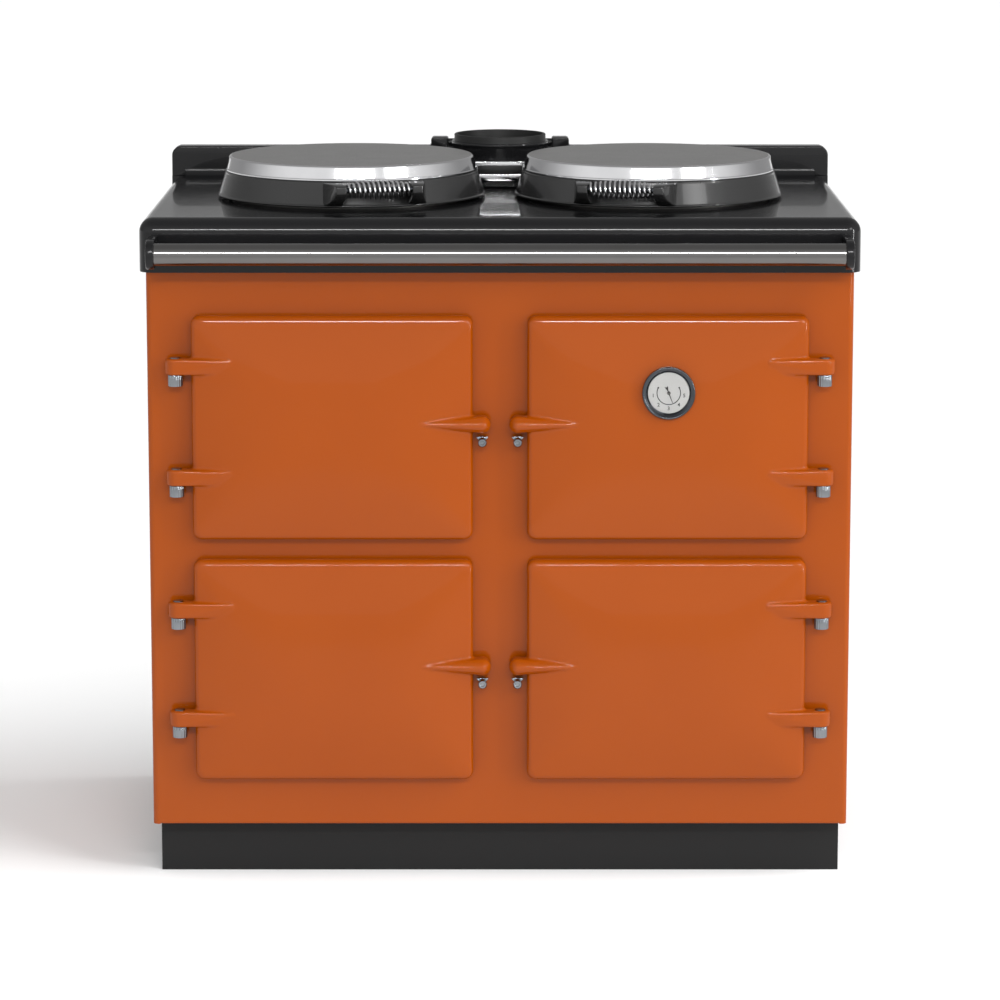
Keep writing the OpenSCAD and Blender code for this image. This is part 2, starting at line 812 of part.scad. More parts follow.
module door_pillow() {
    loft(concat(
        [door_ring(0, door_gap)],
        [for (i = [0:rim_steps])
            let (a = 90 * i / rim_steps)
                door_ring(door_edge_r * (1 - cos(a)), door_front - door_edge_r * (1 - sin(a)))],
        [for (i = [1:crown_steps])
            let (t = i / crown_steps)
                door_ring(door_edge_r + (crown_inset - door_edge_r) * t, crown_at(t))]
    ));
}

axis_x = door_w / 2 + hinge_reach;
arm_tip_x = door_w / 2 - arm_len;
arm_tip_z = crown_at((arm_len - door_edge_r) / (crown_inset - door_edge_r));
arm_chamfer = 3;
arm_heights = [arm_rise - arm_spread / 2, arm_rise + arm_spread / 2];
latch_x = -door_w / 2 - latch_reach + latch_r;
// Radius of the arms' pointed tips
tip_r = 3;

// Cylinder along y, centred on the origin
module upright(r, h) {
    rotate([90, 0, 0]) cylinder(h = h, r = r, center = true);
}

module hinge_arm() {
    hull() {
        translate([axis_x, 0, hinge_off]) {
            upright(eye_r, arm_h - 2 * arm_chamfer, $fn = 32);
            upright(eye_r - arm_chamfer, arm_h, $fn = 32);
        }
        translate([arm_tip_x, arm_h / 2 - 1.5 * tip_r, arm_tip_z - tip_r]) sphere(tip_r, $fn = 16);
        translate([arm_tip_x + tip_r, -arm_h / 8, arm_tip_z - 2 * tip_r]) sphere(1.5 * tip_r, $fn = 16);
    }
}

module latch_arm() {
    hull() {
        translate([latch_x, 0, hinge_off - eye_r + arm_chamfer])
            cylinder(h = 2 * (eye_r - arm_chamfer), r = latch_r, $fn = 32);
        translate([latch_x, 0, hinge_off + eye_r]) sphere(latch_r - arm_chamfer, $fn = 20);
        translate([latch_len - door_w / 2, tip_r / 2, arm_tip_z - tip_r / 2]) sphere(tip_r, $fn = 16);
    }
}

module door_shape(pocket) {
    difference() {
        union() {
            door_pillow();
            for (h = arm_heights) translate([0, h, 0]) hinge_arm();
            translate([0, latch_rise, 0]) latch_arm();
        }
        for (h = arm_heights)
            translate([axis_x, h, hinge_off]) upright(pin_r + pin_fit, arm_h + 2 * over);
        translate([0, 0, door_gap - over]) linear_extrude(door_edge_t - door_wall + over)
            rounded_rect(plug_w - 2 * pan_t, plug_h - 2 * pan_t, mouth_r - pan_t);
        if (pocket)
            translate([0, gauge_rise, crown_top - case_t]) cylinder(h = 3 * case_t, r = case_r + seat);
    }
}

module stand_up(side, z) {
    translate([side * door_x, panel_y, z]) scale([side, 1, 1]) rotate([90, 0, 0]) children();
}

module door(side, z, pocket = false) {
    color(enamel) stand_up(side, z) door_shape(pocket);
}

// Outline of the pressed lining, whose rim seats round the door's hollow back
plug_w = oven_w - 2 * door_plug_gap;
plug_h = oven_h - 2 * door_plug_gap;

module door_lining(side, z) {
    color(steel) stand_up(side, z) translate([0, 0, -door_plug_d]) difference() {
        linear_extrude(door_plug_d + door_gap) rounded_rect(plug_w, plug_h, mouth_r);
        translate([0, 0, pan_t]) linear_extrude(door_plug_d + door_gap)
            rounded_rect(plug_w - 2 * pan_t, plug_h - 2 * pan_t, mouth_r - pan_t);
    }
}

// Radius of a flute in the collar, and how far a pin shows above its arm
flute_r = 0.8;
pin_show = 1.5;

module door_hinge_pins() {
    color(chrome) for (oven = OVENS) stand_up(oven[0], oven[1])
        for (h = arm_heights) translate([axis_x, h - arm_h / 2 - seat, hinge_off]) {
            rotate([90, 0, 0]) linear_extrude(pin_collar_h) difference() {
                circle(pin_collar_r);
                for (i = [0:pin_flutes - 1])
                    rotate(360 * i / pin_flutes) translate([pin_collar_r, 0]) circle(flute_r, $fn = 16);
            }
            rotate([-90, 0, 0]) cylinder(h = arm_h + pin_show, r = pin_r);
            translate([0, -pin_collar_h / 2, -hinge_off]) cylinder(h = hinge_off, r = pin_collar_r / 2);
        }
}

// The V-shaped ramp behind a catch's stud: its half width, height and depth of the V
ramp_w = catch_r + 1.8;
ramp_top = catch_r + 0.3;
ramp_v = 2;
stud_dimple = 1;

module door_catches() {
    color(chrome) for (oven = OVENS) stand_up(oven[0], oven[1])
        translate([latch_x, latch_rise - catch_drop, 0]) {
            difference() {
                cylinder(h = catch_reach, r = catch_r);
                translate([0, 0, catch_reach - stud_dimple]) cylinder(h = 2 * stud_dimple, r = catch_r / 2);
            }
            translate([0, 0, catch_reach / 3]) linear_extrude(catch_reach / 4) polygon([
                [0, -ramp_v], [ramp_w, ramp_top - 1], [ramp_w, ramp_top],
                [-ramp_w, ramp_top], [-ramp_w, ramp_top - 1]
            ]);
        }
}

// Thermometer in the upper right door

module at_gauge() {
    translate([door_x, panel_y - crown_top, upper_z + gauge_rise]) rotate([90, 0, 0]) children();
}

bezel_lip = 4;
case_r = gauge_r - bezel_lip;
dial_z = 2;
dial_t = 1.2;
glass_t = 1.2;
glass_z = dial_z + dial_t + 3.2;
spindle_r = 1.2;
spindle_len = 6;
dial_play = 0.1;

module gauge_bezel() {
    shoulder = bezel_t * 0.8;
    color(chrome) at_gauge() difference() {
        rotate_extrude() polygon([
            [0, seat - case_t], [case_r, seat - case_t], [case_r, seat], [gauge_r, seat],
            [gauge_r, bezel_t * 0.45], [gauge_r - bezel_lip / 2, shoulder], [case_r, bezel_t],
            [dial_r + 1, shoulder], [0, shoulder]
        ]);
        translate([0, 0, dial_z]) cylinder(h = 2 * bezel_t, r = dial_r);
        translate([0, 0, -spindle_len]) cylinder(h = 2 * spindle_len, r = spindle_r + 1);
    }
}

module gauge_dial() {
    color(dial_silver) at_gauge() translate([0, 0, dial_z]) difference() {
        cylinder(h = dial_t, r = dial_r - dial_play);
        translate([0, 0, -over]) cylinder(h = dial_t + 2 * over, r = spindle_r + pin_fit);
    }
}

module gauge_glass() {
    color(glass) at_gauge() translate([0, 0, glass_z]) cylinder(h = glass_t, r = dial_r - dial_play);
}

// Needle: its hub, and the arrow-shaped tail on the other side
needle_t = 0.6;
needle_hub_r = 2;
tail_w = 2.6;

module gauge_needle() {
    color(black) at_gauge() rotate(needle_turn) {
        translate([0, 0, dial_z + dial_t + 1]) linear_extrude(needle_t) {
            circle(needle_hub_r);
            polygon([[-0.7, 0], [0.7, 0], [0.2, -needle_len], [-0.2, -needle_len]]);
            polygon([
                [-0.6, 0], [0.6, 0], [tail_w / 2, needle_len * 0.55], [tail_w, needle_len * 0.75],
                [0, needle_len * 0.6], [-tail_w, needle_len * 0.75], [-tail_w / 2, needle_len * 0.55]
            ]);
        }
        translate([0, 0, -dial_z]) cylinder(h = 2 * dial_z + dial_t + 1, r = spindle_r, $fn = 32);
    }
}

// Lids, drawn about the hotplate's axis at hob height, with the handle towards -y

module at_lid(side) {
    translate([side * hot_x, hot_y, hob_z]) rotate(-side * lid_turn) children();
}

// The cap's bead at its lower edge and chamfer at its top, and the rim's lip and batter
cap_bead = 1.5;
cap_chamfer = 1;
rim_lip_h = 3;
rim_batter = 1.5;
// Inner walls of the rim at its lower edge and above it
rim_inner_r = lid_r - lid_wall;
rim_waist_r = rim_inner_r - 5;
hinge_y = lid_r + lid_hinge_reach;
handle_y = -lid_r - handle_reach;

module lid_cap(side) {
    inner_r = lid_mid_r - cap_t;
    color(chrome) at_lid(side) rotate_extrude($fn = wide_fn) polygon([
        [0, lid_top_h - cap_t], [lid_top_r - cap_chamfer, lid_top_h - cap_t],
        [inner_r, lid_mid_h + cap_bead], [inner_r, lid_mid_h],
        [lid_mid_r, lid_mid_h], [lid_mid_r, lid_mid_h + cap_bead],
        [lid_top_r + cap_chamfer, lid_top_h - cap_chamfer], [lid_top_r, lid_top_h], [0, lid_top_h]
    ]);
}

module lid_rim(side) {
    color(cast_grey) at_lid(side) difference() {
        union() {
            rotate_extrude($fn = wide_fn) polygon([
                [rim_waist_r, lid_gap + 1], [rim_inner_r, lid_gap], [lid_r, lid_gap],
                [lid_r, lid_gap + rim_lip_h], [lid_r - rim_batter, lid_gap + rim_lip_h],
                [lid_mid_r, lid_mid_h - seat], [rim_waist_r, lid_mid_h - seat]
            ]);
            for (s = [left, right]) scale([s, 1, 1]) handle_lug();
            hinge_tongue();
        }
        translate([0, 0, -over]) cylinder(h = lid_mid_h, r = rim_waist_r, $fn = wide_fn);
        translate([0, hinge_y, lid_hinge_h]) rotate([0, 90, 0])
            cylinder(h = lid_tongue_w + 2 * over, r = lid_pin_r + pin_fit, center = true);
    }
}

module hinge_tongue() {
    root_y = lid_mid_r - 3;
    drop = lid_eye_r / 2;
    along_x(-lid_tongue_w / 2, lid_tongue_w / 2) {
        translate([hinge_y, lid_hinge_h]) circle(lid_eye_r);
        translate([root_y, lid_hinge_h - drop]) square([hinge_y - root_y, drop + lid_eye_r]);
    }
}

// Lug that carries one end of the handle, bevelled under its nose
module handle_lug() {
    nose_r = spring_end_d / 2 + 3;
    root_y = 8 - lid_mid_r;
    foot_z = lid_gap + rim_lip_h + 1;
    along_x(handle_len / 2, handle_len / 2 + lug_t) polygon([
        [root_y, foot_z], [1 - lid_r, foot_z], [handle_y - nose_r * 0.4, handle_h - nose_r],
        [handle_y - nose_r, handle_h - nose_r * 0.4], [handle_y - nose_r, handle_h + nose_r * 0.5],
        [handle_y - nose_r * 0.5, lid_mid_h - 1], [root_y, lid_mid_h - 1]
    ]);
}

// The lining is a pan that hangs inside the rim's waist
lining_r = rim_waist_r - seat;

module lid_lining(side) {
    color(steel) at_lid(side) translate([0, 0, lid_mid_h - lining_t]) difference() {
        cylinder(h = lining_t, r = lining_r, $fn = wide_fn);
        translate([0, 0, pan_t]) cylinder(h = lining_t, r = lining_r - pan_t, $fn = wide_fn);
    }
}

module lid_handle_rod(side) {
    color(steel) at_lid(side) translate([0, handle_y, handle_h]) rotate([0, 90, 0])
        cylinder(h = handle_len, r = rod_r, center = true);
}

// Coil spring round the handle's rod, swept as one tube

rings_per_turn = 8;
wire_sides = 6;
coil_rings = spring_turns * rings_per_turn;
coil_len = handle_len - 4 * wire_d;
// How full the coil's barrel is, where 1 is a sine
coil_fullness = 0.7;

// Radius of the coil's centre line at a share t of its length
function coil_radius(t) =
    let (end_r = (spring_end_d - wire_d) / 2, mid_r = (spring_mid_d - wire_d) / 2)
        end_r + (mid_r - end_r) * pow(sin(180 * t), coil_fullness);

function coil_point(i) =
    let (t = i / coil_rings, a = 360 * spring_turns * t, r = coil_radius(t))
        [coil_len * (t - 0.5), r * cos(a), r * sin(a)];

// A straight stretch at each end meets the lugs squarely
coil_path = let (end_r = coil_radius(0)) concat(
    [[-handle_len / 2, end_r, 0], [-handle_len / 2 + wire_d, end_r, 0]],
    [for (i = [1:coil_rings - 1]) coil_point(i)],
    [[handle_len / 2 - wire_d, end_r, 0], [handle_len / 2, end_r, 0]]
);

function unit(v) = v / norm(v);

// Six-sided ring about path point k, square to the path's direction there
function wire_ring(k) =
    let (
        p = coil_path[k],
        ahead = coil_path[min(k + 1, len(coil_path) - 1)],
        behind = coil_path[max(k - 1, 0)],
        along = (k == 0 || k == len(coil_path) - 1)
            ? [1, 0, 0] : unit(unit(ahead - p) + unit(p - behind)),
        out = [0, p[1], p[2]],
        u = unit(out - (out * along) * along),
        v = cross(along, u)
    ) [
        for (j = [0:wire_sides - 1])
            let (a = 360 * j / wire_sides) p + wire_d / 2 * (cos(a) * u + sin(a) * v)
    ];

module lid_handle_spring(side) {
    color(chrome) at_lid(side) translate([0, handle_y, handle_h])
        loft([for (k = [0:len(coil_path) - 1]) wire_ring(k)]);
}

// Least gap between neighbouring turns, and between the coil and its rod, on the tube's points
wire_points = [for (k = [0:len(coil_path) - 1]) wire_ring(k)];
turn_gap = min([
    for (k = [2:len(coil_path) - 6 - rings_per_turn], m = [k + 5:min(k + 11, len(coil_path) - 3)])
        for (a = wire_points[k], b = wire_points[m]) norm(a - b)
]);
rod_gap = min([for (one = wire_points, p = one) norm([0, p[1], p[2]])]) - rod_r;
echo(spring_gap_between_turns = turn_gap, spring_gap_to_rod = rod_gap);

// How far a lid's hinge pin shows beyond its cheeks
lid_pin_show = 2;

module lid_hinges() {
    inside = lid_tongue_w / 2 + seat;
    outside = inside + lid_cheek_t;
    color(steel) for (side = [left, right]) at_lid(side) translate([0, hinge_y, 0]) {
        for (s = [left, right]) scale([s, 1, 1]) along_x(inside, outside) {
            translate([0, lid_hinge_h]) circle(lid_eye_r);
            translate([-lid_eye_r, 0]) square([2 * lid_eye_r, lid_hinge_h]);
        }
        translate([0, 0, lid_hinge_h]) rotate([0, 90, 0])
            cylinder(h = 2 * (outside + lid_pin_show), r = lid_pin_r, center = true);
    }
}

plinth_front();
plinth_sides();
levelling_feet();
base_tray();
mirror([1, 0, 0]) side_panel();  // side_panel_left
side_panel();  // side_panel_right
back_panel();
front_panel();
top_plate();
rear_upstand();
towel_rail();
rail_brackets();
hotplate(left);  // hotplate_left
hotplate(right);  // hotplate_right
hotplate_elements();
oven_liner(left, upper_z);  // oven_liner_upper_left
oven_liner(right, upper_z);  // oven_liner_upper_right
oven_liner(left, lower_z);  // oven_liner_lower_left
oven_liner(right, lower_z);  // oven_liner_lower_right
oven_elements();
oven_seals();
insulation();
flue_casting();
flue_collar();
badge_frame();
badge_inset();
door_hinge_pins();
door_catches();
lid_hinges();
fixing_screws();
cable_gland();
door(left, upper_z);  // door_upper_left
door(right, upper_z, true);  // door_upper_right
door(left, lower_z);  // door_lower_left
door(right, lower_z);  // door_lower_right
door_lining(left, upper_z);  // door_lining_upper_left
door_lining(right, upper_z);  // door_lining_upper_right
door_lining(left, lower_z);  // door_lining_lower_left
door_lining(right, lower_z);  // door_lining_lower_right
gauge_bezel();
gauge_dial();
gauge_glass();
gauge_needle();
lid_cap(left);  // lid_cap_left
lid_rim(left);  // lid_rim_left
lid_lining(left);  // lid_lining_left
lid_handle_rod(left);  // lid_handle_rod_left
lid_handle_spring(left);  // lid_handle_spring_left
lid_cap(right);  // lid_cap_right
lid_rim(right);  // lid_rim_right
lid_lining(right);  // lid_lining_right
lid_handle_rod(right);  // lid_handle_rod_right
lid_handle_spring(right);  // lid_handle_spring_right
shelf(left, upper_z);  // shelf_upper_left
shelf(right, upper_z);  // shelf_upper_right
shelf(left, lower_z);  // shelf_lower_left
shelf(right, lower_z);  // shelf_lower_right
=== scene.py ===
"""Builds the visual model of a heat-storage range cooker around its packed construction."""
import logging
import math
from abc import ABC, abstractmethod
from collections.abc import Callable, Iterable, Iterator
from contextlib import contextmanager
from dataclasses import dataclass, field
from enum import Enum

import bpy
from mathutils import Matrix, Vector


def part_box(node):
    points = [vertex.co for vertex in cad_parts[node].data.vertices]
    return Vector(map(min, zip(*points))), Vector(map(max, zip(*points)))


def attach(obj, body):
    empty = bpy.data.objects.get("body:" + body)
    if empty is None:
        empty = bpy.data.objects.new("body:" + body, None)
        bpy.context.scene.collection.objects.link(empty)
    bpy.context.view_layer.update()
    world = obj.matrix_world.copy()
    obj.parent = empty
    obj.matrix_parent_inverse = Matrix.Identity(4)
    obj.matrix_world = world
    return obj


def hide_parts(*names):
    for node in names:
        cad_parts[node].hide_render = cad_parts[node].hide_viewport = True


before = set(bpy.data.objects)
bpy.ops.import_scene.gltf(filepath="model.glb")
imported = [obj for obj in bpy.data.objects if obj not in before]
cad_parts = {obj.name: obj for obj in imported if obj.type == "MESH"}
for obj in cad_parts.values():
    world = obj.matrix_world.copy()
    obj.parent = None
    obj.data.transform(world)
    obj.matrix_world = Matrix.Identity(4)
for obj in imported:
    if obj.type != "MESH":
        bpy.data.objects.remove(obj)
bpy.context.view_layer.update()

LOG = logging.getLogger("range_cooker")
MM = 0.001
ORIGIN = (0.0, 0.0, 0.0)

Object = bpy.types.Object
Socket = bpy.types.NodeSocket
Point = tuple[float, float]
Place = tuple[float, float, float]
Colour = tuple[float, float, float, float]


class Choice(Enum):
    """A choice that is part of the names of the construction's nodes."""

    @property
    def word(self) -> str:
        """The choice as the nodes spell it."""
        return self.name.lower()


class Side(Choice):
    """A side of the cooker, as the cook sees it."""

    LEFT = -1
    RIGHT = 1


class Level(Choice):
    """A row of ovens, by the height of its doors' middle in millimetres."""

    UPPER = 638.0
    LOWER = 300.5


class Axis(Enum):
    """An axis of the shared frame, with its unit vector."""

    X = (1.0, 0.0, 0.0)
    Y = (0.0, 1.0, 0.0)
    Z = (0.0, 0.0, 1.0)

    @property
    def vector(self) -> Vector:
        """The axis as a vector."""
        return Vector(self.value)


# Mesh tools


def deselect_all() -> None:
    """Leaves object mode with nothing selected, so that an operator acts on the new piece alone."""
    if bpy.context.object and bpy.context.object.mode != "OBJECT":
        bpy.ops.object.mode_set(mode="OBJECT")
    bpy.ops.object.select_all(action="DESELECT")


def use(piece: Object) -> Object:
    """Selects one piece alone and makes it active for the next operators.

    Args:
        piece: The piece.

    Returns:
        The same piece.
    """
    deselect_all()
    piece.select_set(True)
    bpy.context.view_layer.objects.active = piece
    return piece


@contextmanager
def edited(piece: Object, select: str = "SELECT") -> Iterator[None]:
    """Opens a piece in edit mode for the length of a with block.

    Args:
        piece: The piece.
        select: SELECT to start with all of its mesh selected, DESELECT with none.
    """
    use(piece)
    bpy.ops.object.mode_set(mode="EDIT")
    bpy.ops.mesh.select_all(action=select)
    yield
    bpy.ops.object.mode_set(mode="OBJECT")


def face_outward() -> None:
    """Turns every face of the edited mesh outward."""
    bpy.ops.mesh.select_all(action="SELECT")
    bpy.ops.mesh.normals_make_consistent(inside=False)


def newest(name: str) -> Object:
    """Names the piece that an operator has just added, and its data.

    Args:
        name: The new name.

    Returns:
        The piece.
    """
    piece = bpy.context.object
    piece.name = name
    piece.data.name = name
    return piece


def settle(piece: Object) -> Object:
    """Puts a piece's place into its mesh, with its object at the origin, and returns it."""
    use(piece)
    bpy.ops.object.transform_apply(location=True, rotation=True, scale=True)
    return piece


def add_box(name: str, low: Iterable[float], high: Iterable[float]) -> Object:
    """Adds a box between two corners.

    Args:
        name: The piece's name.
        low: The lowest corner, in metres.
        high: The highest corner, in metres.

    Returns:
        The box, with its place in its mesh.
    """
    low, high = Vector(low), Vector(high)
    deselect_all()
    bpy.ops.mesh.primitive_cube_add(size=1, location=(low + high) / 2)
    piece = newest(name)
    piece.scale = high - low
    return settle(piece)


def add_cylinder(
    name: str, centre: Iterable[float], radius: float, length: float, axis: Axis = Axis.Z, sides: int = 64
) -> Object:
    """Adds a cylinder along an axis.

    Args:
        name: The piece's name.
        centre: The middle of the cylinder.
        radius: Its radius.
        length: Its length along the axis.
        axis: The axis that it lies along.
        sides: The number of its sides.

    Returns:
        The cylinder, with its place in its mesh.
    """
    deselect_all()
    bpy.ops.mesh.primitive_cylinder_add(vertices=sides, radius=radius, depth=length, location=Vector(centre))
    piece = newest(name)
    piece.rotation_euler = Axis.Z.vector.rotation_difference(axis.vector).to_euler()
    return settle(piece)


def new_mesh(name: str, points: list[Place], edges: list[tuple[int, int]], faces: list[tuple[int, ...]]) -> Object:
    """Adds a piece with a given mesh.

    Args:
        name: The piece's name.
        points: Its points.
        edges: Pairs of point numbers.
        faces: Rings of point numbers.

    Returns:
        The piece, selected and active.
    """
    deselect_all()
    bpy.ops.mesh.primitive_plane_add(size=1)
    piece = newest(name)
    piece.data.clear_geometry()
    piece.data.from_pydata(points, edges, faces)
    return piece


def chain(count: int) -> list[tuple[int, int]]:
    """The edges that join a number of points in a row."""
    return [(i, i + 1) for i in range(count - 1)]


def spin_profile(name: str, profile: list[Point], centre: Iterable[float] = ORIGIN, steps: int = 96) -> Object:
    """Turns a profile of radius and height about the upright axis through a centre.

    Args:
        name: The piece's name.
        profile: Points of radius and height, from one end of the outline to the other.
        centre: The point on the axis that heights are counted from.
        steps: The number of steps in a full turn.

    Returns:
        The turned piece, closed where the profile meets the axis.
    """
    piece = new_mesh(name, [(r, 0, h) for r, h in profile], chain(len(profile)), [])
    with edited(piece):
        bpy.ops.mesh.spin(steps=steps, angle=2 * math.pi, center=ORIGIN, axis=Axis.Z.value)
        bpy.ops.mesh.select_all(action="SELECT")
        bpy.ops.mesh.remove_doubles(threshold=1e-6)
        face_outward()
    piece.location = Vector(centre)
    return settle(piece)


def apply_modifier(piece: Object, kind: str, **values: object) -> Object:
    """Adds a modifier with the given values and applies it.

    Args:
        piece: The piece to change.
        kind: The modifier's type, such as BEVEL.
        **values: The modifier's settings.

    Returns:
        The same piece.
    """
    use(piece)
    modifier = piece.modifiers.new(kind.title(), kind)
    for key, value in values.items():
        setattr(modifier, key, value)
    bpy.ops.object.modifier_apply(modifier=modifier.name)
    return piece


def cut(piece: Object, tool: Object) -> Object:
    """Cuts a closed tool out of a piece, removes the tool and returns the piece."""
    apply_modifier(piece, "BOOLEAN", operation="DIFFERENCE", object=tool, solver="EXACT")
    bpy.data.objects.remove(tool, do_unlink=True)
    return piece


def join(name: str, pieces: list[Object]) -> Object:
    """Joins pieces into the first of them.

    Args:
        name: The joined piece's name.
        pieces: The pieces.

    Returns:
        The joined piece.
    """
    use(pieces[0])
    for other in pieces[1:]:
        other.select_set(True)
    bpy.ops.object.join()
    return newest(name)


def smooth_by_angle(piece: Object, degrees: float = 35) -> Object:
    """Shades a piece smooth, with edges sharper than an angle kept crisp, and returns it."""
    use(piece)
    bpy.ops.object.shade_smooth_by_angle(angle=math.radians(degrees))
    return piece


def bevel_edges(piece: Object, width: float, segments: int = 3, degrees: float = 30) -> Object:
    """Rounds every edge of a piece that is sharper than an angle.

    Args:
        piece: The piece to round.
        width: The width of the round, in metres.
        segments: The number of its segments.
        degrees: The least angle of an edge that is rounded.

    Returns:
        The same piece.
    """
    apply_modifier(
        piece, "BEVEL", width=width, segments=segments, limit_method="ANGLE",
        angle_limit=math.radians(degrees), harden_normals=False,
    )
    return smooth_by_angle(piece)


def arc(centre: Point, radius: float, start: float, end: float, steps: int) -> list[Point]:
    """Points of an arc in a profile.

    Args:
        centre: The arc's centre, as radius and height.
        radius: The arc's own radius.
        start: The first angle, in degrees from the outward direction.
        end: The last angle.
        steps: The number of steps between them.

    Returns:
        The points in order, with both ends.
    """
    angles = [math.radians(start + (end - start) * i / steps) for i in range(steps + 1)]
    return [(centre[0] + radius * math.cos(a), centre[1] + radius * math.sin(a)) for a in angles]


def between(first: Point, last: Point, near: float = 0.06) -> list[Point]:
    """Two points close to the ends of a straight run of a profile, which keep its shading flat."""
    return [tuple(a + (b - a) * share for a, b in zip(first, last)) for share in (near, 1 - near)]


def extrude_outline(name: str, outline: list[Point], axis: Axis, start: float, end: float) -> Object:
    """Extrudes a closed outline along an axis.

    Args:
        name: The piece's name.
        outline: The outline's points on the other two axes, in their order in XYZ.
        axis: The axis that the outline is extruded along.
        start: Where the extrusion starts on that axis.
        end: Where it ends.

    Returns:
        The closed piece.
    """
    def point(a: float, b: float) -> Place:
        """The place of an outline point at the start of the extrusion."""
        return {Axis.X: (start, a, b), Axis.Y: (a, start, b), Axis.Z: (a, b, start)}[axis]

    piece = new_mesh(name, [point(a, b) for a, b in outline], [], [tuple(range(len(outline)))])
    with edited(piece):
        bpy.ops.mesh.extrude_region_move(TRANSFORM_OT_translate={"value": axis.vector * (end - start)})
        face_outward()
    return piece


def sweep(name: str, path: list[Place], radius: float, rounds: int = 4) -> Object:
    """Sweeps a round wire along a path, with closed ends.

    Args:
        name: The piece's name.
        path: The points of the wire's middle line.
        radius: The wire's radius.
        rounds: How finely its section is rounded.

    Returns:
        The wire, as a mesh.
    """
    new_mesh(name, path, chain(len(path)), [])
    bpy.ops.object.convert(target="CURVE")
    curve = bpy.context.object.data
    curve.dimensions = "3D"
    curve.bevel_depth = radius
    curve.bevel_resolution = rounds
    curve.use_fill_caps = True
    bpy.ops.object.convert(target="MESH")
    return smooth_by_angle(newest(name), 50)


def rounded(corners: list[Place], steps: int = 6) -> list[Point]:
    """Rounds the corners of a closed outline.

    Args:
        corners: Each corner with its radius, in order round the outline.
        steps: The number of steps in a rounded corner.

    Returns:
        The outline's points.
    """
    points = []
    for i, (x, y, radius) in enumerate(corners):
        here = Vector((x, y))
        before, after = (Vector(corners[j % len(corners)][:2]) for j in (i - 1, i + 1))
        if radius <= 0:
            points.append((x, y))
            continue
        to_before, to_after = (before - here).normalized(), (after - here).normalized()
        half = to_before.angle(to_after) / 2
        centre = here + (to_before + to_after).normalized() * radius / math.sin(half)
        first, last = here + to_before * radius / math.tan(half), here + to_after * radius / math.tan(half)
        for step in range(steps + 1):
            way = (first - centre).slerp(last - centre, step / steps)
            points.append(tuple(centre + way.normalized() * radius))
    return points


# Finishes

PALE_GREY: Colour = (0.5, 0.5, 0.5, 1.0)
MID_GREY: Colour = (0.4, 0.4, 0.4, 1.0)


class NodeSheet:
    """Adds and links the nodes of one material or node group."""

    def __init__(self, tree: bpy.types.NodeTree) -> None:
        """Clears the tree's nodes and starts on it."""
        self.tree = tree
        tree.nodes.clear()

    def add(self, kind: str, values: dict[str, object] | None = None, **settings: object) -> bpy.types.Node:
        """Adds a node.

        Args:
            kind: The node's type, without its ShaderNode prefix.
            values: Input values by socket name, or sockets that are linked to them.
            **settings: The node's own settings.

        Returns:
            The node.
        """
        node = self.tree.nodes.new(kind if kind.startswith("NodeGroup") else f"ShaderNode{kind}")
        for key, value in settings.items():
            setattr(node, key, value)
        for key, value in (values or {}).items():
            if isinstance(value, Socket):
                self.tree.links.new(value, node.inputs[key])
            else:
                node.inputs[key].default_value = value
        return node

    def math(self, operation: str, a: object, b: object = 0.0) -> Socket:
        """Adds a Math node on two values or sockets and returns its result."""
        return self.add("Math", {0: a, 1: b}, operation=operation).outputs[0]

    def noise(self, vector: Socket, scale: object, detail: float, roughness: float = 0.5) -> Socket:
        """Adds a noise pattern and returns its strength."""
        values = {"Vector": vector, "Scale": scale, "Detail": detail, "Roughness": roughness}
        return self.add("TexNoise", values).outputs["Fac"]

    def blend(self, factor: object, a: object, b: object) -> Socket:
        """Adds a colour mix.

        Args:
            factor: The share of the second colour.
            a: The first colour.
            b: The second colour.

        Returns:
            The mix's result.
        """
        node = self.add("Mix", data_type="RGBA")
        for index, value in ((0, factor), (6, a), (7, b)):
            if isinstance(value, Socket):
                self.tree.links.new(value, node.inputs[index])
            else:
                node.inputs[index].default_value = value
        return node.outputs[2]


def linear(shade: float) -> float:
    """Turns one channel of a display colour, of 0 to 255, into linear light."""
    share = shade / 255
    return ((share + 0.055) / 1.055) ** 2.4 if shade > 10.31 else share / 12.92


def colour(red: float, green: float, blue: float) -> Colour:
    """Turns a display colour into the linear colour that shaders use."""
    return (linear(red), linear(green), linear(blue), 1.0)


def new_group(name: str, inputs: dict[str, object]) -> tuple[bpy.types.NodeTree, NodeSheet, bpy.types.Node]:
    """Starts a node group that gives a colour, a roughness and a height.

    Args:
        name: The group's name.
        inputs: Default values by socket name; a tuple makes a colour socket.

    Returns:
        The group, its sheet of nodes and its input node.
    """
    group = bpy.data.node_groups.new(name, "ShaderNodeTree")
    for key, value in inputs.items():
        kind = "NodeSocketColor" if isinstance(value, tuple) else "NodeSocketFloat"
        group.interface.new_socket(key, in_out="INPUT", socket_type=kind).default_value = value
    for key, kind in (("Colour", "Color"), ("Roughness", "Float"), ("Height", "Float")):
        group.interface.new_socket(key, in_out="OUTPUT", socket_type=f"NodeSocket{kind}")
    sheet = NodeSheet(group)
    return group, sheet, sheet.add("NodeGroupInput")


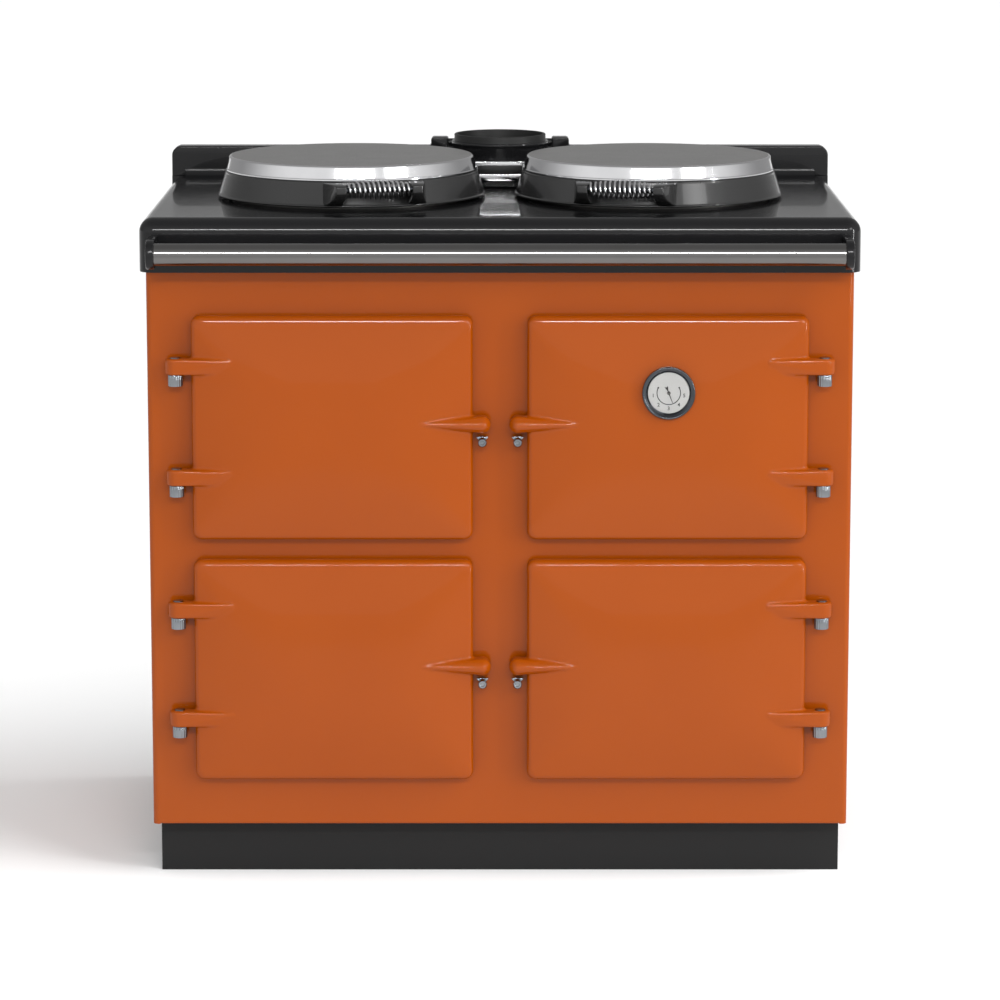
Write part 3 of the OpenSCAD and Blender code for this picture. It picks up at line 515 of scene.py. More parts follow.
def enamel_group() -> bpy.types.NodeTree:
    """Fired enamel: slow waves in the glaze, a pooled tint and a little unevenness of gloss."""
    group, sheet, given = new_group("EnamelGlaze", {
        "Colour": PALE_GREY, "Pooled Colour": MID_GREY, "Gloss": 0.15, "Wave Size": 0.02,
    })
    place = sheet.add("TexCoord").outputs["Object"]
    waves = sheet.noise(place, sheet.math("DIVIDE", 1.0, given.outputs["Wave Size"]), 1.5, 0.4)
    ripple = sheet.noise(place, sheet.math("DIVIDE", 4.0, given.outputs["Wave Size"]), 1.0, 0.5)
    pools = sheet.noise(place, 7.0, 2.0)
    tint = sheet.math("MULTIPLY", pools, 0.6)
    shade = sheet.blend(tint, given.outputs["Colour"], given.outputs["Pooled Colour"])
    rough = sheet.math("ADD", given.outputs["Gloss"], sheet.math("MULTIPLY", pools, 0.04))
    height = sheet.math("ADD", waves, sheet.math("MULTIPLY", ripple, 0.12))
    sheet.add("NodeGroupOutput", {"Colour": shade, "Roughness": rough, "Height": height})
    return group


def grain_group() -> bpy.types.NodeTree:
    """Drawn or turned metal: fine lines along one axis, with smudges in the gloss."""
    group, sheet, given = new_group("MetalGrain", {
        "Colour": PALE_GREY, "Worn Colour": MID_GREY, "Gloss": 0.2, "Streak": 0.1,
        "Along X": 1.0, "Along Y": 1.0, "Along Z": 1.0,
    })
    place = sheet.add("TexCoord").outputs["Object"]
    stretch = sheet.add("CombineXYZ", {axis: given.outputs[f"Along {axis}"] for axis in "XYZ"}).outputs[0]
    drawn = sheet.add("VectorMath", {0: place, 1: stretch}, operation="MULTIPLY").outputs[0]
    lines = sheet.noise(drawn, 1.0, 3.0, 0.6)
    smudge = sheet.noise(place, 28.0, 3.0)
    rough = sheet.math("ADD", given.outputs["Gloss"], sheet.math("MULTIPLY", lines, given.outputs["Streak"]))
    rough = sheet.math("ADD", rough, sheet.math("MULTIPLY", smudge, 0.05))
    shade = sheet.blend(smudge, given.outputs["Colour"], given.outputs["Worn Colour"])
    sheet.add("NodeGroupOutput", {"Colour": shade, "Roughness": rough, "Height": lines})
    return group


def cast_group() -> bpy.types.NodeTree:
    """Cast or moulded skin: fine pits and a speckle in colour and gloss."""
    group, sheet, given = new_group("CastSkin", {
        "Colour": PALE_GREY, "Speck Colour": MID_GREY, "Gloss": 0.5, "Pit Size": 0.001,
    })
    place = sheet.add("TexCoord").outputs["Object"]
    pits = sheet.noise(place, sheet.math("DIVIDE", 1.0, given.outputs["Pit Size"]), 3.0, 0.6)
    patches = sheet.noise(place, 16.0, 3.0)
    speckle = sheet.math("MULTIPLY", pits, patches)
    shade = sheet.blend(speckle, given.outputs["Colour"], given.outputs["Speck Colour"])
    rough = sheet.math("ADD", given.outputs["Gloss"], sheet.math("MULTIPLY", patches, 0.12))
    sheet.add("NodeGroupOutput", {"Colour": shade, "Roughness": rough, "Height": pits})
    return group


class Effect(Enum):
    """A shared surface effect, by the node group that makes it."""

    ENAMEL = "EnamelGlaze"
    GRAIN = "MetalGrain"
    CAST = "CastSkin"

    @property
    def group(self) -> bpy.types.NodeTree:
        """The effect's node group, which is built the first time it is asked for."""
        makers = {Effect.ENAMEL: enamel_group, Effect.GRAIN: grain_group, Effect.CAST: cast_group}
        return bpy.data.node_groups.get(self.value) or makers[self]()


@dataclass(frozen=True)
class Surface(ABC):
    """A surface that pieces can be dressed in."""

    name: str

    @abstractmethod
    def draw(self, sheet: NodeSheet) -> bpy.types.Node:
        """Draws the surface's nodes and returns the shader."""

    def material(self) -> bpy.types.Material:
        """The surface's material, which is built the first time it is asked for."""
        label = f"{self.name}_finish"
        found = bpy.data.materials.get(label)
        if found:
            return found
        made = bpy.data.materials.new(label)
        made.use_nodes = True
        sheet = NodeSheet(made.node_tree)
        sheet.add("OutputMaterial", {"Surface": self.draw(sheet).outputs["BSDF"]})
        return made


@dataclass(frozen=True)
class Finish(Surface):
    """A finish of one or more pieces: a shared effect with its values, on a Principled shader."""

    effect: Effect
    values: dict[str, object]
    metal: float = 0.0
    relief: float = 0.1
    relief_depth: float = 0.001
    coat: float = 0.0
    coat_gloss: float = 0.03
    specular: float = 0.5

    def draw(self, sheet: NodeSheet) -> bpy.types.Node:
        """Draws the finish's nodes.

        Args:
            sheet: The material's sheet of nodes.

        Returns:
            The shader.
        """
        surface = sheet.add("Group", self.values, node_tree=self.effect.group)
        bump = sheet.add("Bump", {
            "Height": surface.outputs["Height"], "Strength": self.relief, "Distance": self.relief_depth,
        })
        return sheet.add("BsdfPrincipled", {
            "Base Color": surface.outputs["Colour"], "Roughness": surface.outputs["Roughness"],
            "Normal": bump.outputs["Normal"], "Metallic": self.metal, "Coat Weight": self.coat,
            "Coat Roughness": self.coat_gloss, "Specular IOR Level": self.specular,
        })


@dataclass(frozen=True)
class ClearGlass(Surface):
    """Thin clear glass, which hardly bends what lies under it."""

    tint: Colour = (1.0, 1.0, 1.0, 1.0)
    bend: float = 1.1

    def draw(self, sheet: NodeSheet) -> bpy.types.Node:
        """Draws the glass's nodes.

        Args:
            sheet: The material's sheet of nodes.

        Returns:
            The shader.
        """
        place = sheet.add("TexCoord").outputs["Object"]
        smear = sheet.math("MULTIPLY", sheet.noise(place, 60.0, 2.0), 0.04)
        return sheet.add("BsdfPrincipled", {
            "Base Color": self.tint, "Roughness": smear, "IOR": self.bend, "Transmission Weight": 1.0,
        })


def enamel(name: str, shade: Place, pooled: Place, gloss: float, wave: float, **more: float) -> Finish:
    """A fired enamel, from its two display colours, its least roughness and the size of its waves."""
    values = {"Colour": colour(*shade), "Pooled Colour": colour(*pooled), "Gloss": gloss, "Wave Size": wave}
    return Finish(name, Effect.ENAMEL, values, **more)


def cast(name: str, shade: Place, speck: Place, gloss: float, pit: float, **more: float) -> Finish:
    """A cast, moulded or woven skin, from its two display colours, least roughness and size of its pits."""
    values = {"Colour": colour(*shade), "Speck Colour": colour(*speck), "Gloss": gloss, "Pit Size": pit}
    return Finish(name, Effect.CAST, values, **more)


def metal(name: str, shade: Place, worn: Place, gloss: float, streak: float, along: Place, relief: float) -> Finish:
    """A bare or plated metal with a fine grain.

    Args:
        name: The finish's name.
        shade: Its display colour.
        worn: Its display colour where it is smudged.
        gloss: Its least roughness.
        streak: How much rougher its lines are.
        along: How fast the grain changes along each axis.
        relief: The strength of the grain's relief.

    Returns:
        The finish.
    """
    values = {"Colour": colour(*shade), "Worn Colour": colour(*worn), "Gloss": gloss, "Streak": streak}
    values |= {f"Along {axis}": rate for axis, rate in zip("XYZ", along)}
    return Finish(name, Effect.GRAIN, values, metal=1.0, relief=relief, relief_depth=0.0002)


ORANGE_ENAMEL = enamel("orange_enamel", (143, 63, 2), (135, 57, 1), 0.3, 0.03, relief=0.16, coat=0.5, specular=0.0)
BLACK_ENAMEL = enamel("black_enamel", (20, 20, 21), (16, 16, 17), 0.16, 0.016, relief=0.2, coat=0.3, specular=0.1)
LID_CASTING = enamel("lid_casting", (31, 31, 31), (27, 27, 27), 0.22, 0.03, coat=0.3, coat_gloss=0.05, specular=0.3)
OVEN_ENAMEL = enamel("oven_enamel", (44, 44, 47), (34, 34, 36), 0.3, 0.012, relief=0.12, relief_depth=0.0008)
FLUE_BLACK = cast("flue_black", (16, 16, 16), (24, 24, 23), 0.42, 0.0015,
                  relief=0.15, relief_depth=0.0004, specular=0.3)
PLINTH_BLACK = cast("plinth_black", (17, 17, 17), (22, 22, 22), 0.5, 0.0009,
                    relief=0.12, relief_depth=0.0003, specular=0.25)
HOTPLATE_IRON = cast("hotplate_iron", (62, 61, 60), (92, 90, 88), 0.38, 0.0012,
                     metal=0.6, relief=0.2, relief_depth=0.0004)
SEAL_ROPE = cast("seal_rope", (70, 70, 68), (110, 108, 104), 0.85, 0.0016, relief=0.7)
WOOL = cast("insulation_wool", (196, 180, 130), (150, 132, 84), 0.9, 0.004, relief=0.9, relief_depth=0.003)
NYLON = cast("gland_nylon", (28, 28, 29), (38, 38, 39), 0.45, 0.0008, relief_depth=0.0002)
INK = cast("dial_ink", (24, 24, 24), (34, 34, 34), 0.5, 0.0005, relief=0.02, relief_depth=0.0001)
NEEDLE_GREY = cast("needle_grey", (58, 54, 52), (66, 62, 60), 0.4, 0.0005, relief=0.02, relief_depth=0.0001)
STUDIO_FLOOR = cast("studio_floor", (252, 252, 252), (250, 250, 250), 0.9, 0.01, relief=0.0, specular=0.0)
CHROME = metal("chrome", (204, 204, 205), (190, 190, 192), 0.05, 0.05, (60, 60, 60), 0.02)
PIN_CHROME = metal("pin_chrome", (140, 144, 148), (122, 126, 130), 0.04, 0.04, (60, 60, 60), 0.03)
DARK_CHROME = metal("dark_chrome", (80, 83, 87), (64, 67, 71), 0.12, 0.08, (60, 60, 60), 0.02)
SATIN_CHROME = metal("satin_chrome", (158, 157, 156), (150, 149, 148), 0.3, 0.12, (900, 40, 900), 0.06)
RAIL_CHROME = metal("rail_chrome", (114, 113, 112), (106, 105, 104), 0.07, 0.05, (2, 1200, 1200), 0.0)
STEEL = metal("steel", (168, 169, 170), (140, 141, 142), 0.28, 0.2, (300, 300, 60), 0.08)
ZINC_SHEET = metal("zinc_sheet", (178, 180, 181), (150, 152, 154), 0.38, 0.2, (14, 14, 14), 0.08)
DIAL_SILVER = metal("dial_silver", (192, 192, 190), (184, 184, 182), 0.42, 0.08, (50, 50, 900), 0.02)
DIAL_GLASS = ClearGlass("dial_glass")


# The cooker's sub-assemblies


def node(name: str) -> Object:
    """A node of the construction, by its name."""
    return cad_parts[name]


def middle(name: str) -> Vector:
    """The middle of a construction node's box."""
    low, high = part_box(name)
    return (Vector(low) + Vector(high)) / 2


def add_to_scene(name: str, data: bpy.types.ID) -> Object:
    """Adds a lamp or a camera with the given data to the scene and returns it."""
    piece = bpy.data.objects.new(name, data)
    bpy.context.scene.collection.objects.link(piece)
    return piece


def dress(piece: Object, finish: Surface) -> None:
    """Gives a whole piece one finish.

    Args:
        piece: A modelled piece or a node of the construction.
        finish: Its finish.
    """
    made = finish.material()
    if not piece.material_slots:
        piece.data.materials.append(made)
    for place in piece.material_slots:
        place.material = made


def place(piece: Object, body: str, finish: Surface, slot: str, *nodes: str) -> Object:
    """Dresses a modelled piece, sets it on its body and lets it stand for construction nodes.

    Args:
        piece: The finished mesh, in its place.
        body: The body that it moves with.
        finish: Its finish.
        slot: A material slot's name, which is not used.
        *nodes: The construction nodes that it replaces.

    Returns:
        The piece.
    """
    dress(piece, finish)
    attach(piece, body)
    if nodes:
        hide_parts(*nodes)
    LOG.info("%s rides on %s, %d faces", piece.name, body, len(piece.data.polygons))
    return piece


@dataclass(frozen=True)
class StripLight:
    """A long soft light, which the glazed edges mirror as a thin line."""

    name: str
    at: Place
    wide: float
    tall: float
    watts: float
    to: Place = (0.0, 0.0, 0.6)
    spread: float = math.radians(60)

    def build(self) -> None:
        """Adds the light, turned to the place that it points at."""
        data = bpy.data.lights.new(self.name, "AREA")
        data.shape = "RECTANGLE"
        data.size, data.size_y = self.wide, self.tall
        data.energy, data.spread = self.watts, self.spread
        lamp = add_to_scene(self.name, data)
        lamp.location = self.at
        lamp.rotation_euler = (Vector(self.to) - Vector(self.at)).to_track_quat("-Z", "Y").to_euler()


@dataclass
class Studio:
    """The camera at the photograph's viewing angle, a pale floor and soft light."""

    image_px: float = 1000.0
    focal_px: float = 3860.0
    eye_height: float = 1.517
    eye_reach: float = 5.190
    horizon_px: float = -225.0
    shift: float = -0.10
    sensor: float = 36.0
    sight: float = 50.0
    floor_size: float = 400.0
    front_sky: float = 1.25
    back_sky: float = 0.4
    high_sky: float = 0.44
    front_to_back: tuple[float, float] = (-0.6, 0.6)
    low_to_high: tuple[float, float] = (0.3, 1.0)
    sun: float = 1.9
    sun_width: float = math.radians(45)
    sun_way: Place = (-2.1, 0.7, -2.4)
    strips: tuple[StripLight, ...] = (
        StripLight("top_strip", (0.2, -4.5, 2.64), 2.8, 0.16, 13.0),
        StripLight("right_strip", (4.2, -2.4, 1.2), 0.2, 2.0, 7.5),
        StripLight("side_box", (2.9, -3.1, 2.7), 1.6, 1.0, 3.6),
    )

    def aim(self) -> None:
        """Sets the camera where the photograph's eye is, tipped down to the cooker."""
        data = bpy.data.cameras.new("camera")
        camera = add_to_scene("camera", data)
        data.sensor_width = self.sensor
        data.lens = self.focal_px / self.image_px * self.sensor
        data.shift_y = self.shift
        data.clip_end = self.sight
        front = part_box("top_plate")[0][1]
        camera.location = (0, front - self.eye_reach, self.eye_height)
        below_horizon = self.image_px / 2 - self.horizon_px + self.shift * self.image_px
        pitch = math.atan(below_horizon / self.focal_px)
        camera.rotation_euler = (math.pi / 2 - pitch, 0, 0)
        bpy.context.scene.camera = camera

    def floor(self) -> None:
        """Adds the pale floor, which is so wide that the camera sees no end of it."""
        deselect_all()
        bpy.ops.mesh.primitive_plane_add(size=self.floor_size, location=ORIGIN)
        ground = settle(newest("studio_floor"))
        dress(ground, STUDIO_FLOOR)

    def light(self) -> None:
        """Adds the sky, a broad sun and the soft boxes that the enamel mirrors."""
        world = bpy.data.worlds.new("studio")
        world.use_nodes = True
        sheet = NodeSheet(world.node_tree)
        way = sheet.add("SeparateXYZ", {"Vector": sheet.add("TexCoord").outputs["Generated"]})
        depth, rise = (
            sheet.add("MapRange", {"Value": way.outputs[axis], "From Min": start, "From Max": end},
                      interpolation_type="SMOOTHSTEP").outputs["Result"]
            for axis, (start, end) in (("Y", self.front_to_back), ("Z", self.low_to_high))
        )
        front, back, high = ((level, level, level, 1) for level in (self.front_sky, self.back_sky, self.high_sky))
        shade = sheet.blend(rise, sheet.blend(depth, front, back), high)
        sky = sheet.add("Background", {"Color": shade, "Strength": 1.0})
        sheet.add("OutputWorld", {"Surface": sky.outputs[0]})
        bpy.context.scene.world = world
        data = bpy.data.lights.new("sun", "SUN")
        data.energy, data.angle = self.sun, self.sun_width
        lamp = add_to_scene("sun", data)
        lamp.visible_glossy = False
        lamp.rotation_euler = Vector(self.sun_way).to_track_quat("-Z", "Y").to_euler()
        for strip in self.strips:
            strip.build()

    def build(self) -> None:
        """Sets up the whole studio."""
        self.aim()
        self.floor()
        self.light()
        bpy.context.scene.view_settings.view_transform = "Standard"


@dataclass(frozen=True)
class Casing:
    """The body's panels, plinth, ovens and inner pieces, which keep the construction's own shapes."""

    finishes: tuple[tuple[Surface, str], ...] = (
        (ZINC_SHEET, "base_tray back_panel"),
        (STEEL, "levelling_feet oven_elements hotplate_elements fixing_screws lid_hinges door_lining lid_lining"),
        (HOTPLATE_IRON, "hotplate_left hotplate_right"),
        (CHROME, "shelf door_hinge_pins door_catches badge_frame lid_handle"),
        (BLACK_ENAMEL, "rail_brackets top_plate rear_upstand flue_casting"),
        (FLUE_BLACK, "flue_collar badge_inset"),
        (PLINTH_BLACK, "plinth"),
        (OVEN_ENAMEL, "oven_liner"),
        (SEAL_ROPE, "oven_seals"),
        (WOOL, "insulation"),
        (NYLON, "cable_gland"),
        (RAIL_CHROME, "towel_rail"),
        (DARK_CHROME, "gauge_bezel"),
        (DIAL_SILVER, "gauge_dial"),
        (DIAL_GLASS, "gauge_glass"),
        (INK, "gauge_needle"),
        (SATIN_CHROME, "lid_cap"),
        (LID_CASTING, "lid_rim"),
        (ORANGE_ENAMEL, "front_panel side_panel door_"),
    )

    def build(self) -> None:
        """Gives every construction node the first finish that lists the start of its name."""
        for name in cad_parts:
            finish = next(made for made, starts in self.finishes if name.startswith(tuple(starts.split())))
            dress(node(name), finish)
            LOG.info("%s is dressed as %s", name, finish.name)


@dataclass
class DoorSkin:
    """The skin that all four doors share: a pillow with two hinge arms and a latch arm, cast in one.

    It is drawn flat like the construction's: X towards the hinge, Y up, Z towards the cook, with the
    front panel at Z = 0 and lengths in millimetres. The pillow's rings are the construction's own.
    """

    width: float = 383
    height: float = 309
    gap: float = 4
    front: float = 24
    round_over: float = 9
    corner: float = 12
    corner_growth: float = 0.35
    crown: float = 14
    crown_flat: float = 26
    axis_across: float = 213
    axis_off: float = 17
    eye: float = 14
    eye_bevel: float = 3
    arm_high: float = 22
    arm_levels: tuple[float, float] = (-67.5, 85.5)
    arm_tip: float = 139.5
    tip_round: float = 2.2
    tip_lift: float = 1.5
    root: Place = (8, 5, 2)
    latch_across: float = -204.5
    latch_level: float = 6
    latch_round: float = 11.5
    latch_tip: float = -120.5
    latch_lift: float = 0.6
    dome_r: float = 5
    dome_out: float = 0.6
    bore: float = 7.6
    grid: int = 280
    edge_share: float = 0.9
    flat_share: float = 0.14
    voxel: float = 1.8
    blend_from: float = 13
    blend_to: float = 24
    run_in: float = 6
    run_out: float = 40

    @property
    def crown_inset(self) -> float:
        """Where the crown ends, from the door's edge."""
        return self.height / 2 - self.crown_flat

    @property
    def meeting(self) -> float:
        """The inset where the round meets the crown, at about the crown's own slope."""
        slope = 2 * self.crown / (self.crown_inset - self.round_over)
        return self.round_over * (1 - math.sin(math.atan(slope)))

    def height_at(self, inset: float) -> float:
        """Finds the skin's height.

        Args:
            inset: The distance from the door's edge.

        Returns:
            The height over the front panel.
        """
        rest = self.round_over - min(inset, self.meeting)
        edge = self.front - self.round_over + math.sqrt(max(self.round_over ** 2 - rest ** 2, 0.0))
        if inset < self.meeting:
            return edge
        share = min((inset - self.meeting) / (self.crown_inset - self.meeting), 1.0)
        return edge + (self.front + self.crown - edge) * (1 - (1 - share) ** 2)

    def inset_at(self, share: float) -> float:
        """Finds where a ring of the grid lies.

        Args:
            share: The ring's share of the way from the middle to the edge.

        Returns:
            Its inset from the door's edge.
        """
        if share > self.edge_share:
            angle = (1 - share) / (1 - self.edge_share) * math.acos(1 - self.meeting / self.round_over)
            return self.round_over * (1 - math.cos(angle))
        if share > self.flat_share:
            rest = (self.edge_share - share) / (self.edge_share - self.flat_share)
            return self.meeting + (self.crown_inset - self.meeting) * rest
        return self.crown_inset + self.crown_flat * (1 - share / self.flat_share)

    def skin_point(self, across: float, up: float) -> Place:
        """The point of the skin for a place on a grid from -1 to 1.

        Args:
            across: The grid's place towards the hinge.
            up: The grid's place upwards.

        Returns:
            The point, in millimetres.
        """
        share = max(abs(across), abs(up))
        if share < 1e-6:
            return (0.0, 0.0, self.front + self.crown)
        inset = self.inset_at(share)
        half_w, half_h = self.width / 2 - inset, max(self.height / 2 - inset, 0.0)
        radius = max(min(half_h - 1, self.corner + self.corner_growth * inset), 0.0)
        x, y = across / share * half_w, up / share * half_h
        over_x, over_y = abs(x) - (half_w - radius), abs(y) - (half_h - radius)
        if radius > 0 and over_x > 0 and over_y > 0:
            scale = radius / math.hypot(over_x, over_y)
            x = math.copysign(half_w - radius + over_x * scale, x)
            y = math.copysign(half_h - radius + over_y * scale, y)
        return (x, y, self.height_at(min(inset, self.crown_inset)))

    def pillow(self) -> Object:
        """The closed pillow without its arms."""
        deselect_all()
        bpy.ops.mesh.primitive_grid_add(x_subdivisions=self.grid, y_subdivisions=self.grid, size=2)
        skin = newest("door_pillow")
        for vertex in skin.data.vertices:
            vertex.co = self.skin_point(vertex.co.x, vertex.co.y)
        side = (0, 0, self.gap - self.front + self.round_over)
        with edited(skin, "DESELECT"):
            bpy.ops.mesh.select_mode(type="EDGE")
            bpy.ops.mesh.select_non_manifold()
            bpy.ops.mesh.extrude_region_move(TRANSFORM_OT_translate={"value": side})
            bpy.ops.mesh.edge_face_add()
            face_outward()
        return skin

    @staticmethod
    def hull(name: str, discs: list[tuple[Axis, Place, float, float]], balls: list[tuple[Place, float]]) -> Object:
        """Wraps discs and balls in one convex skin.

        Args:
            name: The piece's name.
            discs: Each disc's axis, centre, radius and length.
            balls: Each ball's centre and radius.

        Returns:
            The wrapped piece.
        """
        parts = [add_cylinder(name, centre, radius, length, axis, 48) for axis, centre, radius, length in discs]
        for centre, radius in balls:
            deselect_all()
            bpy.ops.mesh.primitive_uv_sphere_add(segments=24, ring_count=16, radius=radius, location=centre)
            parts.append(settle(newest(name)))
        whole = join(name, parts)
        with edited(whole):
            bpy.ops.mesh.convex_hull()
        return whole

    def arms(self) -> list[Object]:
        """The hinge arms, which run out in a point on the crown, and the latch arm."""
        made = []
        bevel, tip, (back, rise, sink) = self.eye_bevel, self.tip_round, self.root
        crest = self.height_at(self.width / 2 - self.arm_tip)
        for level in self.arm_levels:
            top, low = level + self.arm_high / 2, level - self.arm_high / 2
            eye = (self.axis_across, level, self.axis_off)
            made.append(self.hull("hinge_arm", [
                (Axis.Y, eye, self.eye, self.arm_high - bevel), (Axis.Y, eye, self.eye - bevel / 2, self.arm_high),
            ], [
                ((self.arm_tip, top - 1.4 * tip, crest - tip + self.tip_lift), tip),
                ((self.arm_tip - back, low + rise, crest - sink - 2 * tip), 2 * tip),
            ]))
        crest = self.height_at(self.width / 2 + self.latch_tip)
        end = (self.latch_across, self.latch_level)
        reach = self.axis_off + self.eye
        made.append(self.hull("latch_arm", [
            (Axis.Z, (*end, self.axis_off - 0.5), self.latch_round, 2 * (self.eye - bevel)),
        ], [
            ((*end, reach - bevel), self.latch_round - bevel),
            ((end[0], end[1] + 1, reach + self.dome_out), self.dome_r),
            ((self.latch_tip, end[1] + 1.5, crest - tip + self.latch_lift), tip),
        ]))
        return made

    def nearness(self, x: float, y: float) -> float:
        """Finds how much of the arms' own shape a place keeps.

        Args:
            x: The place's distance towards the hinge.
            y: Its height.

        Returns:
            The share, from 0 on the open pillow to 1 at an arm.
        """
        first, last = self.arm_tip - self.run_in, self.axis_across + self.run_out
        runs = [((first, level), (last, level)) for level in self.arm_levels]
        first, last = self.latch_across - self.run_out, self.latch_tip + self.run_in
        runs.append(((first, self.latch_level), (last, self.latch_level)))
        least = min(math.hypot(x - min(max(x, a[0]), b[0]), y - a[1]) for a, b in runs)
        share = min(max((self.blend_to - least) / (self.blend_to - self.blend_from), 0.0), 1.0)
        return share * share * (3 - 2 * share)

    def build(self) -> Object:
        """The finished skin with its pin bores, still drawn flat in millimetres."""
        true_skin = self.pillow()
        use(true_skin)
        bpy.ops.object.duplicate()
        whole = join("door_skin", [newest("door_skin"), *self.arms()])
        apply_modifier(whole, "REMESH", mode="VOXEL", voxel_size=self.voxel)
        near = whole.vertex_groups.new(name="near arms")
        far = whole.vertex_groups.new(name="open pillow")
        for vertex in whole.data.vertices:
            share = self.nearness(vertex.co.x, vertex.co.y)
            if share > 0:
                near.add([vertex.index], share, "REPLACE")
            if share < 1:
                far.add([vertex.index], 1 - share, "REPLACE")
        apply_modifier(whole, "SMOOTH", factor=0.5, iterations=3, vertex_group="near arms")
        apply_modifier(whole, "SHRINKWRAP", target=true_skin, wrap_method="NEAREST_SURFACEPOINT",
                       wrap_mode="ON_SURFACE", vertex_group="open pillow")
        bpy.data.objects.remove(true_skin, do_unlink=True)
        for level in self.arm_levels:
            centre = (self.axis_across, level, self.axis_off)
            cut(whole, add_cylinder("bore", centre, self.bore, self.arm_high + 8, Axis.Y, 48))
        whole.vertex_groups.clear()
        return whole


@dataclass
class Doors:
    """The four enamelled oven doors, which stand for the construction's."""

    across: float = 228.6
    skin: DoorSkin = field(default_factory=DoorSkin)

    def stand(self, level: Level, side: Side) -> Matrix:
        """The move from the flat drawing in millimetres to one oven's place."""
        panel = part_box("front_panel")[0][1]
        return Matrix(((side.value * MM, 0, 0, side.value * self.across * MM), (0, 0, -MM, panel),
                       (0, MM, 0, level.value * MM), (0, 0, 0, 1)))

    def build(self) -> None:
        """Makes the skin once and stands a copy of it at each oven."""
        master = self.skin.build()
        for level in Level:
            for side in Side:
                use(master)
                bpy.ops.object.duplicate()
                name = f"door_{level.word}_{side.word}"
                door = newest(f"{name}_skin")
                door.data.transform(self.stand(level, side))
                if side is Side.LEFT:
                    door.data.flip_normals()
                smooth_by_angle(door, 50)
                place(door, f"{level.word}_{side.word}_door", ORANGE_ENAMEL, "orange_enamel", name)
        bpy.data.objects.remove(master, do_unlink=True)


